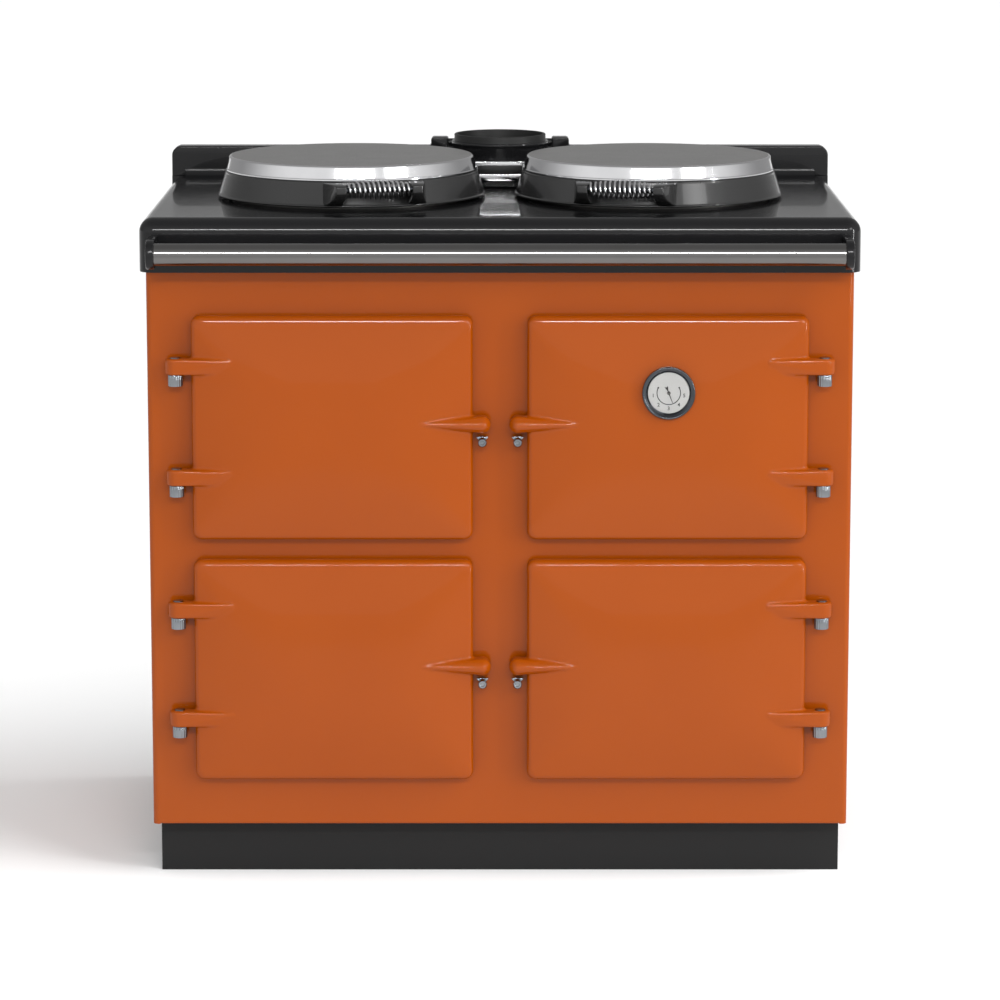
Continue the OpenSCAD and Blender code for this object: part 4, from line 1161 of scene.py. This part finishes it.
@dataclass
class Lid:
    """A hotplate lid: a satin cap with a bright band, a cast rim and a coil-spring handle.

    It is drawn about the hotplate's axis, with Z = 0 at the hob and lengths in millimetres.
    """

    side: Side
    across: float = 211
    rim_r: float = 190
    mid_r: float = 178.5
    top_r: float = 174
    gap: float = 4
    lip_r: float = 1.6
    mid_h: float = 39
    top_h: float = 60
    cap_t: float = 2.5
    crown_r: float = 3.2
    seam_in: float = 3.5
    sides: int = 160
    waist_r: float = 176
    turn: float = 12.5
    handle_y: float = -205
    handle_h: float = 30
    handle_len: float = 92
    lug_t: float = 14
    flare: float = 12
    rod_r: float = 4
    wire: float = 3.2
    turns: int = 13
    spring_mid: float = 26
    spring_end: float = 18
    barrel: float = 0.7
    steps_per_turn: int = 36
    hinge_y: float = 205
    hinge_h: float = 15
    tongue: float = 40
    tongue_eye: float = 9
    bore: float = 4.1

    @property
    def body(self) -> str:
        """The body that the lid's pieces move with."""
        return f"{self.side.word}_lid"

    def stand(self, piece: Object, finish: Finish, slot: str, *nodes: str) -> Object:
        """Moves a piece drawn about the hotplate's axis to its place on the hob, and dresses it.

        Args:
            piece: The piece.
            finish: Its finish.
            slot: A material slot's name, passed on to place, which does not use it.
            *nodes: The construction nodes that it replaces.

        Returns:
            The piece.
        """
        hotplate = middle(f"hotplate_{self.side.word}")
        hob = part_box("top_plate")[1][2]
        turn = Matrix.Rotation(math.radians(-self.side.value * self.turn), 4, "Z")
        piece.data.transform(Matrix.Translation((hotplate.x, hotplate.y, hob)) @ turn @ Matrix.Scale(MM, 4))
        return place(piece, self.body, finish, slot, *nodes)

    def cap(self) -> None:
        """The satin top disc and the bright band round it."""
        word, seam = self.side.word, self.top_r - self.seam_in
        top = spin_profile(f"lid_{word}_top", [
            (0, self.top_h), (seam * 0.6, self.top_h - 0.12), (seam, self.top_h - 0.45),
            (seam, self.top_h - self.cap_t), (0, self.top_h - self.cap_t),
        ], steps=self.sides)
        self.stand(smooth_by_angle(top, 30), SATIN_CHROME, "chrome", f"lid_cap_{word}")
        slope = math.degrees(math.atan2(self.mid_r - self.top_r, self.top_h - self.mid_h))
        crown = arc((self.top_r - self.crown_r, self.top_h - self.crown_r - 0.5), self.crown_r, slope, 90, 8)[::-1]
        foot, inner = (self.mid_r - 0.8, self.mid_h + 3), self.mid_r - self.cap_t
        band = spin_profile(f"lid_{word}_band", [
            (seam, self.top_h - self.cap_t), (seam, self.top_h - 0.5), *crown, *between(crown[-1], foot), foot,
            (self.mid_r - 0.1, self.mid_h + 2.2), (self.mid_r, self.mid_h + 0.8), (self.mid_r - 0.5, self.mid_h),
            (inner, self.mid_h), (inner, self.mid_h + 3), (seam, self.top_h - self.cap_t),
        ], steps=self.sides)
        self.stand(smooth_by_angle(band, 30), CHROME, "chrome")

    def lug(self, way: int, low: float) -> Object:
        """One handle lug, flared where it meets the rim.

        Args:
            way: The side of the handle, -1 or 1.
            low: The rim's lowest height.

        Returns:
            The lug.
        """
        nose, root = self.spring_end / 2 + 3, 8 - self.mid_r
        along, up = self.handle_y, self.handle_h
        inner = way * self.handle_len / 2
        lug = extrude_outline("lug", [
            (root, low + 4), (1 - self.rim_r, low + 4), (along - nose * 0.4, up - nose),
            (along - nose, up - nose * 0.4), (along - nose, up + nose * 0.5),
            (along - nose * 0.5, self.mid_h - 1), (root, self.mid_h - 1),
        ], Axis.X, inner, inner + way * self.lug_t)
        for vertex in lug.data.vertices:
            back = (vertex.co.y - along + nose) / (self.rim_r - 8)
            if abs(vertex.co.x) > abs(inner) + 1:
                vertex.co.x += way * self.flare * min(back * 6, 1.0)
        return bevel_edges(lug, 1.8, 3, 20)

    def rim(self) -> None:
        """The cast rim with its lip, the two handle lugs and the hinge tongue."""
        low, high = self.gap, self.mid_h - 0.3
        foot, waist = (self.rim_r - 2.2, low + 5), (self.mid_r + 1.0, high - 2.4)
        ring = spin_profile("rim", [
            (self.waist_r, low + 2), (self.rim_r - 9, low),
            *arc((self.rim_r - self.lip_r, low + self.lip_r), self.lip_r, -90, 60, 6),
            (self.rim_r - 1.7, low + 3.6), foot, *between(foot, waist), waist,
            *arc((self.mid_r - 1.2, high - 2.2), 2.2, 12, 90, 5), (self.waist_r, high), (self.waist_r, low + 2),
        ], steps=self.sides)
        parts = [ring, *[self.lug(way, low) for way in (-1, 1)]]
        drop = self.tongue_eye / 2
        eye = add_cylinder("eye", (0, self.hinge_y, self.hinge_h), self.tongue_eye, self.tongue, Axis.X, 48)
        arm = add_box("tongue", (-self.tongue / 2, self.mid_r - 3, self.hinge_h - drop),
                      (self.tongue / 2, self.hinge_y, self.hinge_h + self.tongue_eye))
        for part in (eye, arm):
            hole = add_cylinder("bore", (0, self.hinge_y, self.hinge_h), self.bore, self.tongue + 4, Axis.X, 48)
            cut(part, hole)
            parts.append(bevel_edges(part, 0.8, 2))
        whole = smooth_by_angle(join(f"lid_{self.side.word}_rim", parts), 32)
        self.stand(whole, LID_CASTING, "lid_casting", f"lid_rim_{self.side.word}")

    def coil_point(self, share: float) -> Place:
        """Finds a point of the coil's middle line.

        Args:
            share: The point's share of the coil's length.

        Returns:
            The point.
        """
        end_r, mid_r = (self.spring_end - self.wire) / 2, (self.spring_mid - self.wire) / 2
        radius = end_r + (mid_r - end_r) * math.sin(math.pi * share) ** self.barrel
        angle = 2 * math.pi * self.turns * share
        along = (self.handle_len - self.wire) * (share - 0.5)
        return (along, self.handle_y + radius * math.cos(angle), self.handle_h + radius * math.sin(angle))

    def handle(self) -> None:
        """The rod between the lugs and the coil spring that is wound round it."""
        word = self.side.word
        middle_line = (0, self.handle_y, self.handle_h)
        rod = add_cylinder(f"lid_{word}_rod", middle_line, self.rod_r, self.handle_len, Axis.X, 32)
        self.stand(smooth_by_angle(rod), DARK_CHROME, "steel", f"lid_handle_rod_{word}")
        count = self.turns * self.steps_per_turn
        coil = [self.coil_point(i / count) for i in range(count + 1)]
        first, last = coil[0], coil[-1]
        half = self.handle_len / 2
        path = [(-half, first[1], first[2]), *coil, (half, last[1], last[2])]
        spring = sweep(f"lid_{word}_spring", path, self.wire / 2, 3)
        self.stand(spring, CHROME, "chrome", f"lid_handle_spring_{word}")

    def build(self) -> None:
        """Makes the lid's pieces."""
        self.cap()
        self.rim()
        self.handle()


@dataclass
class Hob:
    """The top plate with its rolled edge, the rear upstand, the towel rail and its brackets."""

    roll: float = 20 * MM
    corner: float = 21 * MM
    wall: float = 10 * MM
    skirt: float = 26 * MM
    hole: float = 171.5 * MM
    duct: float = 52 * MM
    shoulder_in: float = 77 * MM
    shoulder_out: float = 103 * MM
    upstand_high: float = 45 * MM
    shoulder_high: float = 58 * MM
    upstand_t: float = 30 * MM
    ear_r: float = 6 * MM
    ear_in: float = 4 * MM
    ear_out: float = 10 * MM
    ear_down: float = 8 * MM
    bracket_t: float = 11 * MM
    cove: float = 12 * MM

    def plate(self) -> None:
        """The top plate, open under its skirt, with a hole for each hotplate and for the duct."""
        low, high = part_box("top_plate")
        plate = add_box("top_plate_casting", low, high)
        self.round_off(plate, self.corner, lambda a, b: abs(a.z - b.z) > self.wall and a.y < 0)
        top = high.z - MM / 100
        self.round_off(plate, self.roll, lambda a, b: min(a.z, b.z) > top and min(a.y, b.y) < high.y - MM)
        hollow = add_box("hollow", (low.x + self.skirt, low.y + self.skirt, low.z - self.wall),
                         (high.x - self.skirt, high.y - self.skirt, high.z - self.wall))
        cut(plate, hollow)
        for side in Side:
            spot = middle(f"hotplate_{side.word}")
            cut(plate, add_cylinder("hole", (spot.x, spot.y, high.z), self.hole, 4 * self.wall, Axis.Z, 128))
        flue = middle("flue_collar")
        cut(plate, add_cylinder("duct", (0, flue.y, high.z), self.duct, 4 * self.wall, Axis.Z, 96))
        bevel_edges(plate, 1.2 * MM, 2, 45)
        apply_modifier(plate, "WEIGHTED_NORMAL", weight=100, keep_sharp=True)
        place(plate, "cooker", BLACK_ENAMEL, "black_enamel", "top_plate")

    @staticmethod
    def round_off(piece: Object, radius: float, chosen: Callable[[Vector, Vector], bool]) -> None:
        """Rounds the edges of a piece that a test of their two ends picks.

        Args:
            piece: The piece.
            radius: The radius of the round.
            chosen: The test of an edge's two ends.
        """
        with edited(piece):
            bpy.ops.mesh.select_mode(type="EDGE")
            bpy.ops.mesh.select_all(action="DESELECT")
        for edge in piece.data.edges:
            a, b = (piece.data.vertices[i].co for i in edge.vertices)
            edge.select = chosen(a, b)
        bpy.ops.object.mode_set(mode="EDIT")
        bpy.ops.mesh.bevel(offset=radius, segments=12, affect="EDGES", clamp_overlap=False)
        bpy.ops.object.mode_set(mode="OBJECT")

    def upstand(self) -> None:
        """The upstand with its shoulder blocks and the coves at its foot."""
        low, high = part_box("rear_upstand")
        face = high.y - self.upstand_t
        top, peak = low.z + self.upstand_high, low.z + self.shoulder_high
        half = [
            (self.shoulder_in, top, 0), (self.shoulder_in, peak, 3 * MM), (self.shoulder_out, peak, 5 * MM),
            (self.shoulder_out, top, 4 * MM), (high.x, top, 14 * MM), (high.x, low.z, 0),
        ]
        mirrored = [(-x, z, r) for x, z, r in half[::-1]]
        outline = rounded([*half, *mirrored], 8)
        wall = bevel_edges(extrude_outline("upstand_wall", outline, Axis.Y, face, high.y), 2.2 * MM, 4, 32)
        parts = [wall]
        bends = [(math.sin(a), 1 - math.cos(a)) for a in (math.pi / 2 * i / 12 for i in range(13))]
        hollow = [(face - self.cove + self.cove * a, low.z + self.cove * b) for a, b in bends]
        roll = [(high.x - self.roll + self.roll * a, low.z - self.roll * b) for a, b in bends]
        for side in Side:
            profile = [*hollow, (face + MM, low.z + self.cove), (face + MM, low.z)]
            start, end = side.value * self.shoulder_out, side.value * (high.x - self.roll)
            parts.append(extrude_outline("cove", profile, Axis.X, start, end))
            filler = [(side.value * x, z) for x, z in [*roll, (high.x, low.z + MM)]]
            parts.append(extrude_outline("roll_filler", filler, Axis.Y, face, high.y))
            spot = (side.value * (self.shoulder_in - self.ear_in), face + self.ear_out, peak - self.ear_down)
            ear = add_cylinder("ear_pin", spot, self.ear_r, 2 * self.ear_r, Axis.X, 32)
            parts.append(bevel_edges(ear, MM, 2))
        whole = smooth_by_angle(join("rear_upstand_casting", parts), 35)
        place(whole, "cooker", BLACK_ENAMEL, "black_enamel", "rear_upstand")

    def rail(self) -> None:
        """The towel rail between its two brackets."""
        low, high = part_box("towel_rail")
        centre = (low + high) / 2
        tube = add_cylinder("rail_tube", centre, (high.z - low.z) / 2, high.x - low.x, Axis.X, 128)
        place(smooth_by_angle(tube), "cooker", RAIL_CHROME, "chrome", "towel_rail")
        low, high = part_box("rail_brackets")
        tall = high.z - low.z
        parts = []
        for side in Side:
            nose = tall / 2 - MM
            outline = rounded([
                (low.y, low.z, nose), (high.y, low.z, 0), (high.y, high.z, 0), (low.y, high.z, nose),
            ], 16)
            outer = side.value * high.x
            bracket = extrude_outline("bracket", outline, Axis.X, outer, outer - side.value * self.bracket_t)
            parts.append(bevel_edges(bracket, 2 * MM, 4, 35))
        place(join("rail_bracket_pair", parts), "cooker", BLACK_ENAMEL, "black_enamel", "rail_brackets")

    def build(self) -> None:
        """Makes the hob's pieces."""
        self.plate()
        self.upstand()
        self.rail()


@dataclass
class Flue:
    """The flue outlet: a cast neck and box, a loose collar and the badge frame with its bare plate."""

    pipe_r: float = 62.8
    collar_wall: float = 4.2
    duct_r: float = 52
    neck_wall: float = 2.3
    flange_r: float = 71
    flange_t: float = 5
    collar_top: float = 72
    seat: float = 36
    show: float = 10
    box_wide: float = 100
    box_high: float = 40
    box_in: float = 16

    def build(self) -> None:
        """Makes the flue's pieces."""
        spot, hob = middle("flue_collar"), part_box("top_plate")[1].z
        centre = (0, spot.y, hob)
        outer = self.pipe_r + self.collar_wall
        neck, foot, flange = outer + self.neck_wall, self.duct_r + 8, self.collar_top - self.show
        floor, under = self.collar_top - self.seat, flange - self.flange_t
        body = spin_profile("flue_neck", [(r * MM, h * MM) for r, h in [
            (self.duct_r, 0), (foot + 5, 0), (foot + 1.5, 1.5), (foot, 5), (foot, floor - 6), (neck, floor),
            (neck, under - 3), (neck + 0.4, under - 1), (self.flange_r - 0.8, under),
            *arc((self.flange_r - 1.5, under + 1.5), 1.5, -60, 0, 4),
            *arc((self.flange_r - 1.5, flange - 1.5), 1.5, 0, 90, 4),
            (outer + 0.3, flange), (outer + 0.3, floor), (self.duct_r, floor), (self.duct_r, 0),
        ]], centre, steps=128)
        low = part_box("flue_casting")[0]
        wide, tall = self.box_wide / 2 * MM, self.box_high * MM
        box = add_box("flue_box", (-wide, low.y, hob), (wide, spot.y - foot * MM + self.box_in * MM, hob + tall))
        bevel_edges(box, 3 * MM, 4)
        cut(box, add_cylinder("duct", centre, (self.duct_r + 2) * MM, 5 * tall, Axis.Z, 96))
        whole = smooth_by_angle(join("flue_neck_casting", [body, box]), 32)
        place(whole, "cooker", BLACK_ENAMEL, "black_enamel", "flue_casting")
        rim = self.collar_top
        collar = spin_profile("flue_pipe_collar", [(r * MM, h * MM) for r, h in [
            (self.pipe_r, floor), (outer, floor), *arc((outer - 1.4, rim - 1.4), 1.4, 0, 90, 5),
            *arc((self.pipe_r + 1.2, rim - 1.2), 1.2, 90, 180, 5), (self.pipe_r, floor),
        ]], centre, steps=128)
        place(smooth_by_angle(collar, 32), "cooker", FLUE_BLACK, "flue_black", "flue_collar")
        self.badge()

    @staticmethod
    def badge() -> None:
        """The chrome badge frame, and the bare plate in it."""
        low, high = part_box("badge_frame")
        inset_low, inset_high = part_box("badge_inset")
        surround = add_box("badge_surround", low, high)
        room = 0.3 * MM
        cut(surround, add_box("recess", (inset_low.x - room, low.y - MM, inset_low.z - room),
                              (inset_high.x + room, low.y + MM, inset_high.z + room)))
        place(bevel_edges(surround, 0.6 * MM, 3), "cooker", CHROME, "chrome", "badge_frame")
        bare = bevel_edges(add_box("badge_plate", inset_low, inset_high), 0.2 * MM, 2)
        place(bare, "cooker", FLUE_BLACK, "flue_black", "badge_inset")


@dataclass
class Gauge:
    """The thermometer in the upper right door: bezel, dial with its scale, needle and domed glass.

    Lengths are in millimetres; heights are counted from the door's skin towards the cook.
    """

    rim_r: float = 36
    crest_r: float = 34.4
    face_r: float = 28.5
    proud: float = 8
    case: float = 12
    dial_h: float = 2
    dial_t: float = 1.2
    spindle_r: float = 1.3
    scale_r: float = 15.9
    scale_w: float = 1.2
    scale_end: float = 27
    dot_r: float = 1.2
    numbers: tuple[str, ...] = ("1", "2", "3", "4", "5")
    number_span: tuple[float, float] = (190, 350)
    number_r: float = 21.4
    number_size: float = 7.0
    number_raise: float = 0.03
    number_bold: float = 0.14
    glass_h: float = 3.2
    glass_t: float = 0.6
    dome: float = 0.9
    dome_steps: int = 8
    needle_len: float = 14.6
    needle_turn: float = 21.4
    needle_h: float = 4.2
    needle_t: float = 0.5

    @property
    def centre(self) -> Vector:
        """The place on the door's skin that the gauge is set on."""
        spot = middle("gauge_bezel")
        return Vector((spot.x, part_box("gauge_bezel")[0].y + self.proud * MM, spot.z))

    def stand(self, piece: Object, finish: Surface, slot: str, body: str, *nodes: str) -> None:
        """Turns a piece drawn flat, with Z towards the cook, to face the front, and dresses it."""
        turn = Matrix.Rotation(math.pi / 2, 4, "X")
        piece.data.transform(Matrix.Translation(self.centre) @ turn @ Matrix.Scale(MM, 4))
        place(piece, body, finish, slot, *nodes)

    @staticmethod
    def polar(radius: float, degrees: float) -> Point:
        """A point of the dial at a radius and an angle from its right side."""
        angle = math.radians(degrees)
        return (radius * math.cos(angle), radius * math.sin(angle))

    def bezel(self) -> None:
        """The dark chrome ring with its inward cone, and the case behind it."""
        round_r, foot, case_r, hole = self.rim_r - self.crest_r, 0.2, self.crest_r - 3, self.spindle_r + 1
        ring = spin_profile("gauge_ring", [
            (0, foot), (0, foot - self.case), (case_r, foot - self.case), (case_r, 0.3), (self.rim_r, 0.3),
            (self.rim_r, self.proud - 2.6), *arc((self.crest_r, self.proud - round_r), round_r, 0, 130, 8),
            (self.face_r + 0.6, self.dial_h + 2.4), (self.face_r, self.dial_h + 1.8), (self.face_r, self.dial_h),
            (hole, self.dial_h), (hole, foot), (0, foot),
        ], steps=128)
        self.stand(smooth_by_angle(ring, 30), DARK_CHROME, "chrome", "upper_right_door", "gauge_bezel")

    def dial(self) -> None:
        """The silver dial, and the scale, its end dots and plain numbers printed on it."""
        top = self.dial_h + self.dial_t
        disc = spin_profile("gauge_face", [
            (self.spindle_r, self.dial_h), (self.face_r - 0.2, self.dial_h), (self.face_r - 0.2, top - 0.4),
            (self.face_r - 0.6, top), (self.spindle_r, top), (self.spindle_r, self.dial_h),
        ], steps=96)
        self.stand(smooth_by_angle(disc, 30), DIAL_SILVER, "dial_face", "upper_right_door", "gauge_dial")
        start, end, steps = 180 - self.scale_end, 360 + self.scale_end, 60
        turns = [start + (end - start) * i / steps for i in range(steps + 1)]
        inner, outer = self.scale_r - self.scale_w / 2, self.scale_r + self.scale_w / 2
        outline = [self.polar(outer, a) for a in turns] + [self.polar(inner, a) for a in turns[::-1]]
        ink = [extrude_outline("scale", outline, Axis.Z, top - 0.2, top + 0.05)]
        for angle in (start, end):
            spot = (*self.polar(self.scale_r, angle), top)
            ink.append(add_cylinder("dot", spot, self.dot_r, 0.12, Axis.Z, 24))
        first, last = self.number_span
        for index, number in enumerate(self.numbers):
            ink.append(self.printed(number, first + (last - first) / (len(self.numbers) - 1) * index, top))
        self.stand(join("gauge_scale", ink), INK, "needle_black", "upper_right_door")

    def printed(self, word: str, degrees: float, height: float) -> Object:
        """Prints one number upright on the dial, as a thin mesh.

        Args:
            word: The number.
            degrees: Its angle from the dial's right side.
            height: The height that it is printed at.

        Returns:
            The number.
        """
        deselect_all()
        bpy.ops.object.text_add()
        letters = newest("number")
        letters.data.body, letters.data.size, letters.data.resolution_u = word, self.number_size, 4
        letters.data.extrude, letters.data.offset = self.number_raise, self.number_bold
        letters.data.align_x = letters.data.align_y = "CENTER"
        letters.location = (*self.polar(self.number_r, degrees), height + 0.02)
        bpy.ops.object.convert(target="MESH")
        return settle(newest("number"))

    def needle(self) -> None:
        """The thin needle with its ring-shaped hub and arrow tail, on a spindle."""
        low, high = self.needle_h, self.needle_h + self.needle_t
        shaft = [(0.65, -2), (0.4, -self.needle_len), (-0.4, -self.needle_len), (-0.65, -2)]
        tail = [(0.5, 1.8), (0.7, 4.2), (2.5, 9.6), (0, 8.2), (-2.5, 9.6), (-0.7, 4.2), (-0.5, 1.8)]
        parts = [extrude_outline("blade", outline, Axis.Z, low, high) for outline in (shaft, tail)]
        ring = [(1.5, low), (2.5, low), (2.5, high), (1.5, high), (1.5, low)]
        parts.append(spin_profile("hub", ring, steps=40))
        middle_h = (low - self.dial_h) / 2 + 0.1
        parts.append(add_cylinder("spindle", (0, 0, middle_h), self.spindle_r - 0.1, low + self.dial_h, Axis.Z, 24))
        whole = join("needle_blade", parts)
        whole.data.transform(Matrix.Rotation(math.radians(self.needle_turn), 4, "Z"))
        self.stand(smooth_by_angle(whole), NEEDLE_GREY, "needle_black", "needle", "gauge_needle")

    def glass(self) -> None:
        """The slightly domed glass."""
        edge_h, edge_r, steps = self.dial_h + self.glass_h, self.face_r - 0.1, self.dome_steps
        under = [(edge_r * i / steps, edge_h + self.dome * (1 - (i / steps) ** 2)) for i in range(steps + 1)]
        over = [(r, h + self.glass_t) for r, h in under]
        dome = spin_profile("gauge_dome", [*under, *over[::-1]], steps=96)
        self.stand(smooth_by_angle(dome), DIAL_GLASS, "gauge_glass", "upper_right_door", "gauge_glass")

    def build(self) -> None:
        """Makes the gauge's pieces."""
        self.bezel()
        self.dial()
        self.needle()
        self.glass()


@dataclass
class DoorFittings:
    """The fixed chrome parts that the doors hang on and shut against: collared pins and catches.

    They are drawn like the door's skin: X towards the hinge, Y up, Z towards the cook, in millimetres.
    """

    doors: Doors
    pin: float = 7.4
    collar: float = 10
    collar_h: float = 16
    flutes: int = 16
    flute: float = 0.7
    flute_steps: int = 6
    chamfer: float = 0.8
    show: float = 1.5
    room: float = 0.3
    stud: float = 6.2
    reach: float = 26
    drop: float = 25
    rim: float = 1.3
    dimple: float = 0.9

    def pin_parts(self, level: float) -> list[Object]:
        """Makes one hinge pin with its collar, and the foot that carries it on the panel.

        Args:
            level: The height of the arm's middle.

        Returns:
            The three parts.
        """
        skin = self.doors.skin
        seat = level - skin.arm_high / 2 - self.room
        low, top = seat - self.collar_h, level + skin.arm_high / 2 + self.show
        centre = (skin.axis_across, 0, skin.axis_off)
        post = spin_profile("post", [
            (0, seat - 1), (self.pin, seat - 1), (self.pin, top - self.chamfer), (self.pin - self.chamfer, top),
            (0, top),
        ], steps=64)
        post.data.transform(Matrix.Translation(centre) @ Matrix.Rotation(-math.pi / 2, 4, "X"))
        ring, steps = [], self.flutes * self.flute_steps
        for step in range(steps):
            angle = 2 * math.pi * step / steps
            radius = self.collar - self.flute * max(0.0, math.cos(self.flutes * angle)) ** 2
            ring.append((centre[0] + radius * math.sin(angle), centre[2] + radius * math.cos(angle)))
        collar = extrude_outline("collar", ring, Axis.Y, low, seat)
        root = (centre[0], low + self.collar_h / 2, centre[2] / 2)
        foot = add_cylinder("foot", root, self.collar / 2, centre[2], Axis.Z, 32)
        return [smooth_by_angle(post, 30), bevel_edges(collar, 0.9, 3, 50), smooth_by_angle(foot)]

    def catch_parts(self) -> list[Object]:
        """One catch: a stud with a dimpled end, and the V ramp behind its head."""
        skin = self.doors.skin
        spot = (skin.latch_across, skin.latch_level - self.drop, 0)
        head = spin_profile("stud", [
            (0, 0), (self.stud, 0), (self.stud, self.reach - self.rim), (self.stud - self.rim, self.reach),
            (self.stud * 0.5, self.reach), (self.stud * 0.42, self.reach - self.dimple),
            (0, self.reach - self.dimple),
        ], spot, steps=48)
        wide, top = self.stud + 1.8, self.stud + 0.3
        ramp = extrude_outline("ramp", [
            (spot[0], spot[1] - 2), (spot[0] + wide, spot[1] + top - 1), (spot[0] + wide, spot[1] + top),
            (spot[0] - wide, spot[1] + top), (spot[0] - wide, spot[1] + top - 1),
        ], Axis.Z, self.reach / 3, self.reach * 7 / 12)
        return [smooth_by_angle(head, 30), bevel_edges(ramp, 0.4, 2)]

    def build(self) -> None:
        """Makes one piece of all the pins and one of all the catches."""
        pins, catches = [], []
        for level in Level:
            for side in Side:
                made = [part for height in self.doors.skin.arm_levels for part in self.pin_parts(height)]
                stops = self.catch_parts()
                for part in (*made, *stops):
                    part.data.transform(self.doors.stand(level, side))
                    if side is Side.LEFT:
                        part.data.flip_normals()
                pins.extend(made)
                catches.extend(stops)
        place(join("hinge_pin_set", pins), "cooker", PIN_CHROME, "chrome", "door_hinge_pins")
        place(join("catch_set", catches), "cooker", PIN_CHROME, "chrome", "door_catches")


def main() -> None:
    """Builds the cooker in order."""
    logging.basicConfig(level=logging.INFO, format="%(name)s: %(message)s")
    Studio().build()
    Casing().build()
    Doors().build()
    for side in Side:
        Lid(side).build()
    Hob().build()
    Flue().build()
    Gauge().build()
    DoorFittings(Doors()).build()


if __name__ == "__main__":
    main()
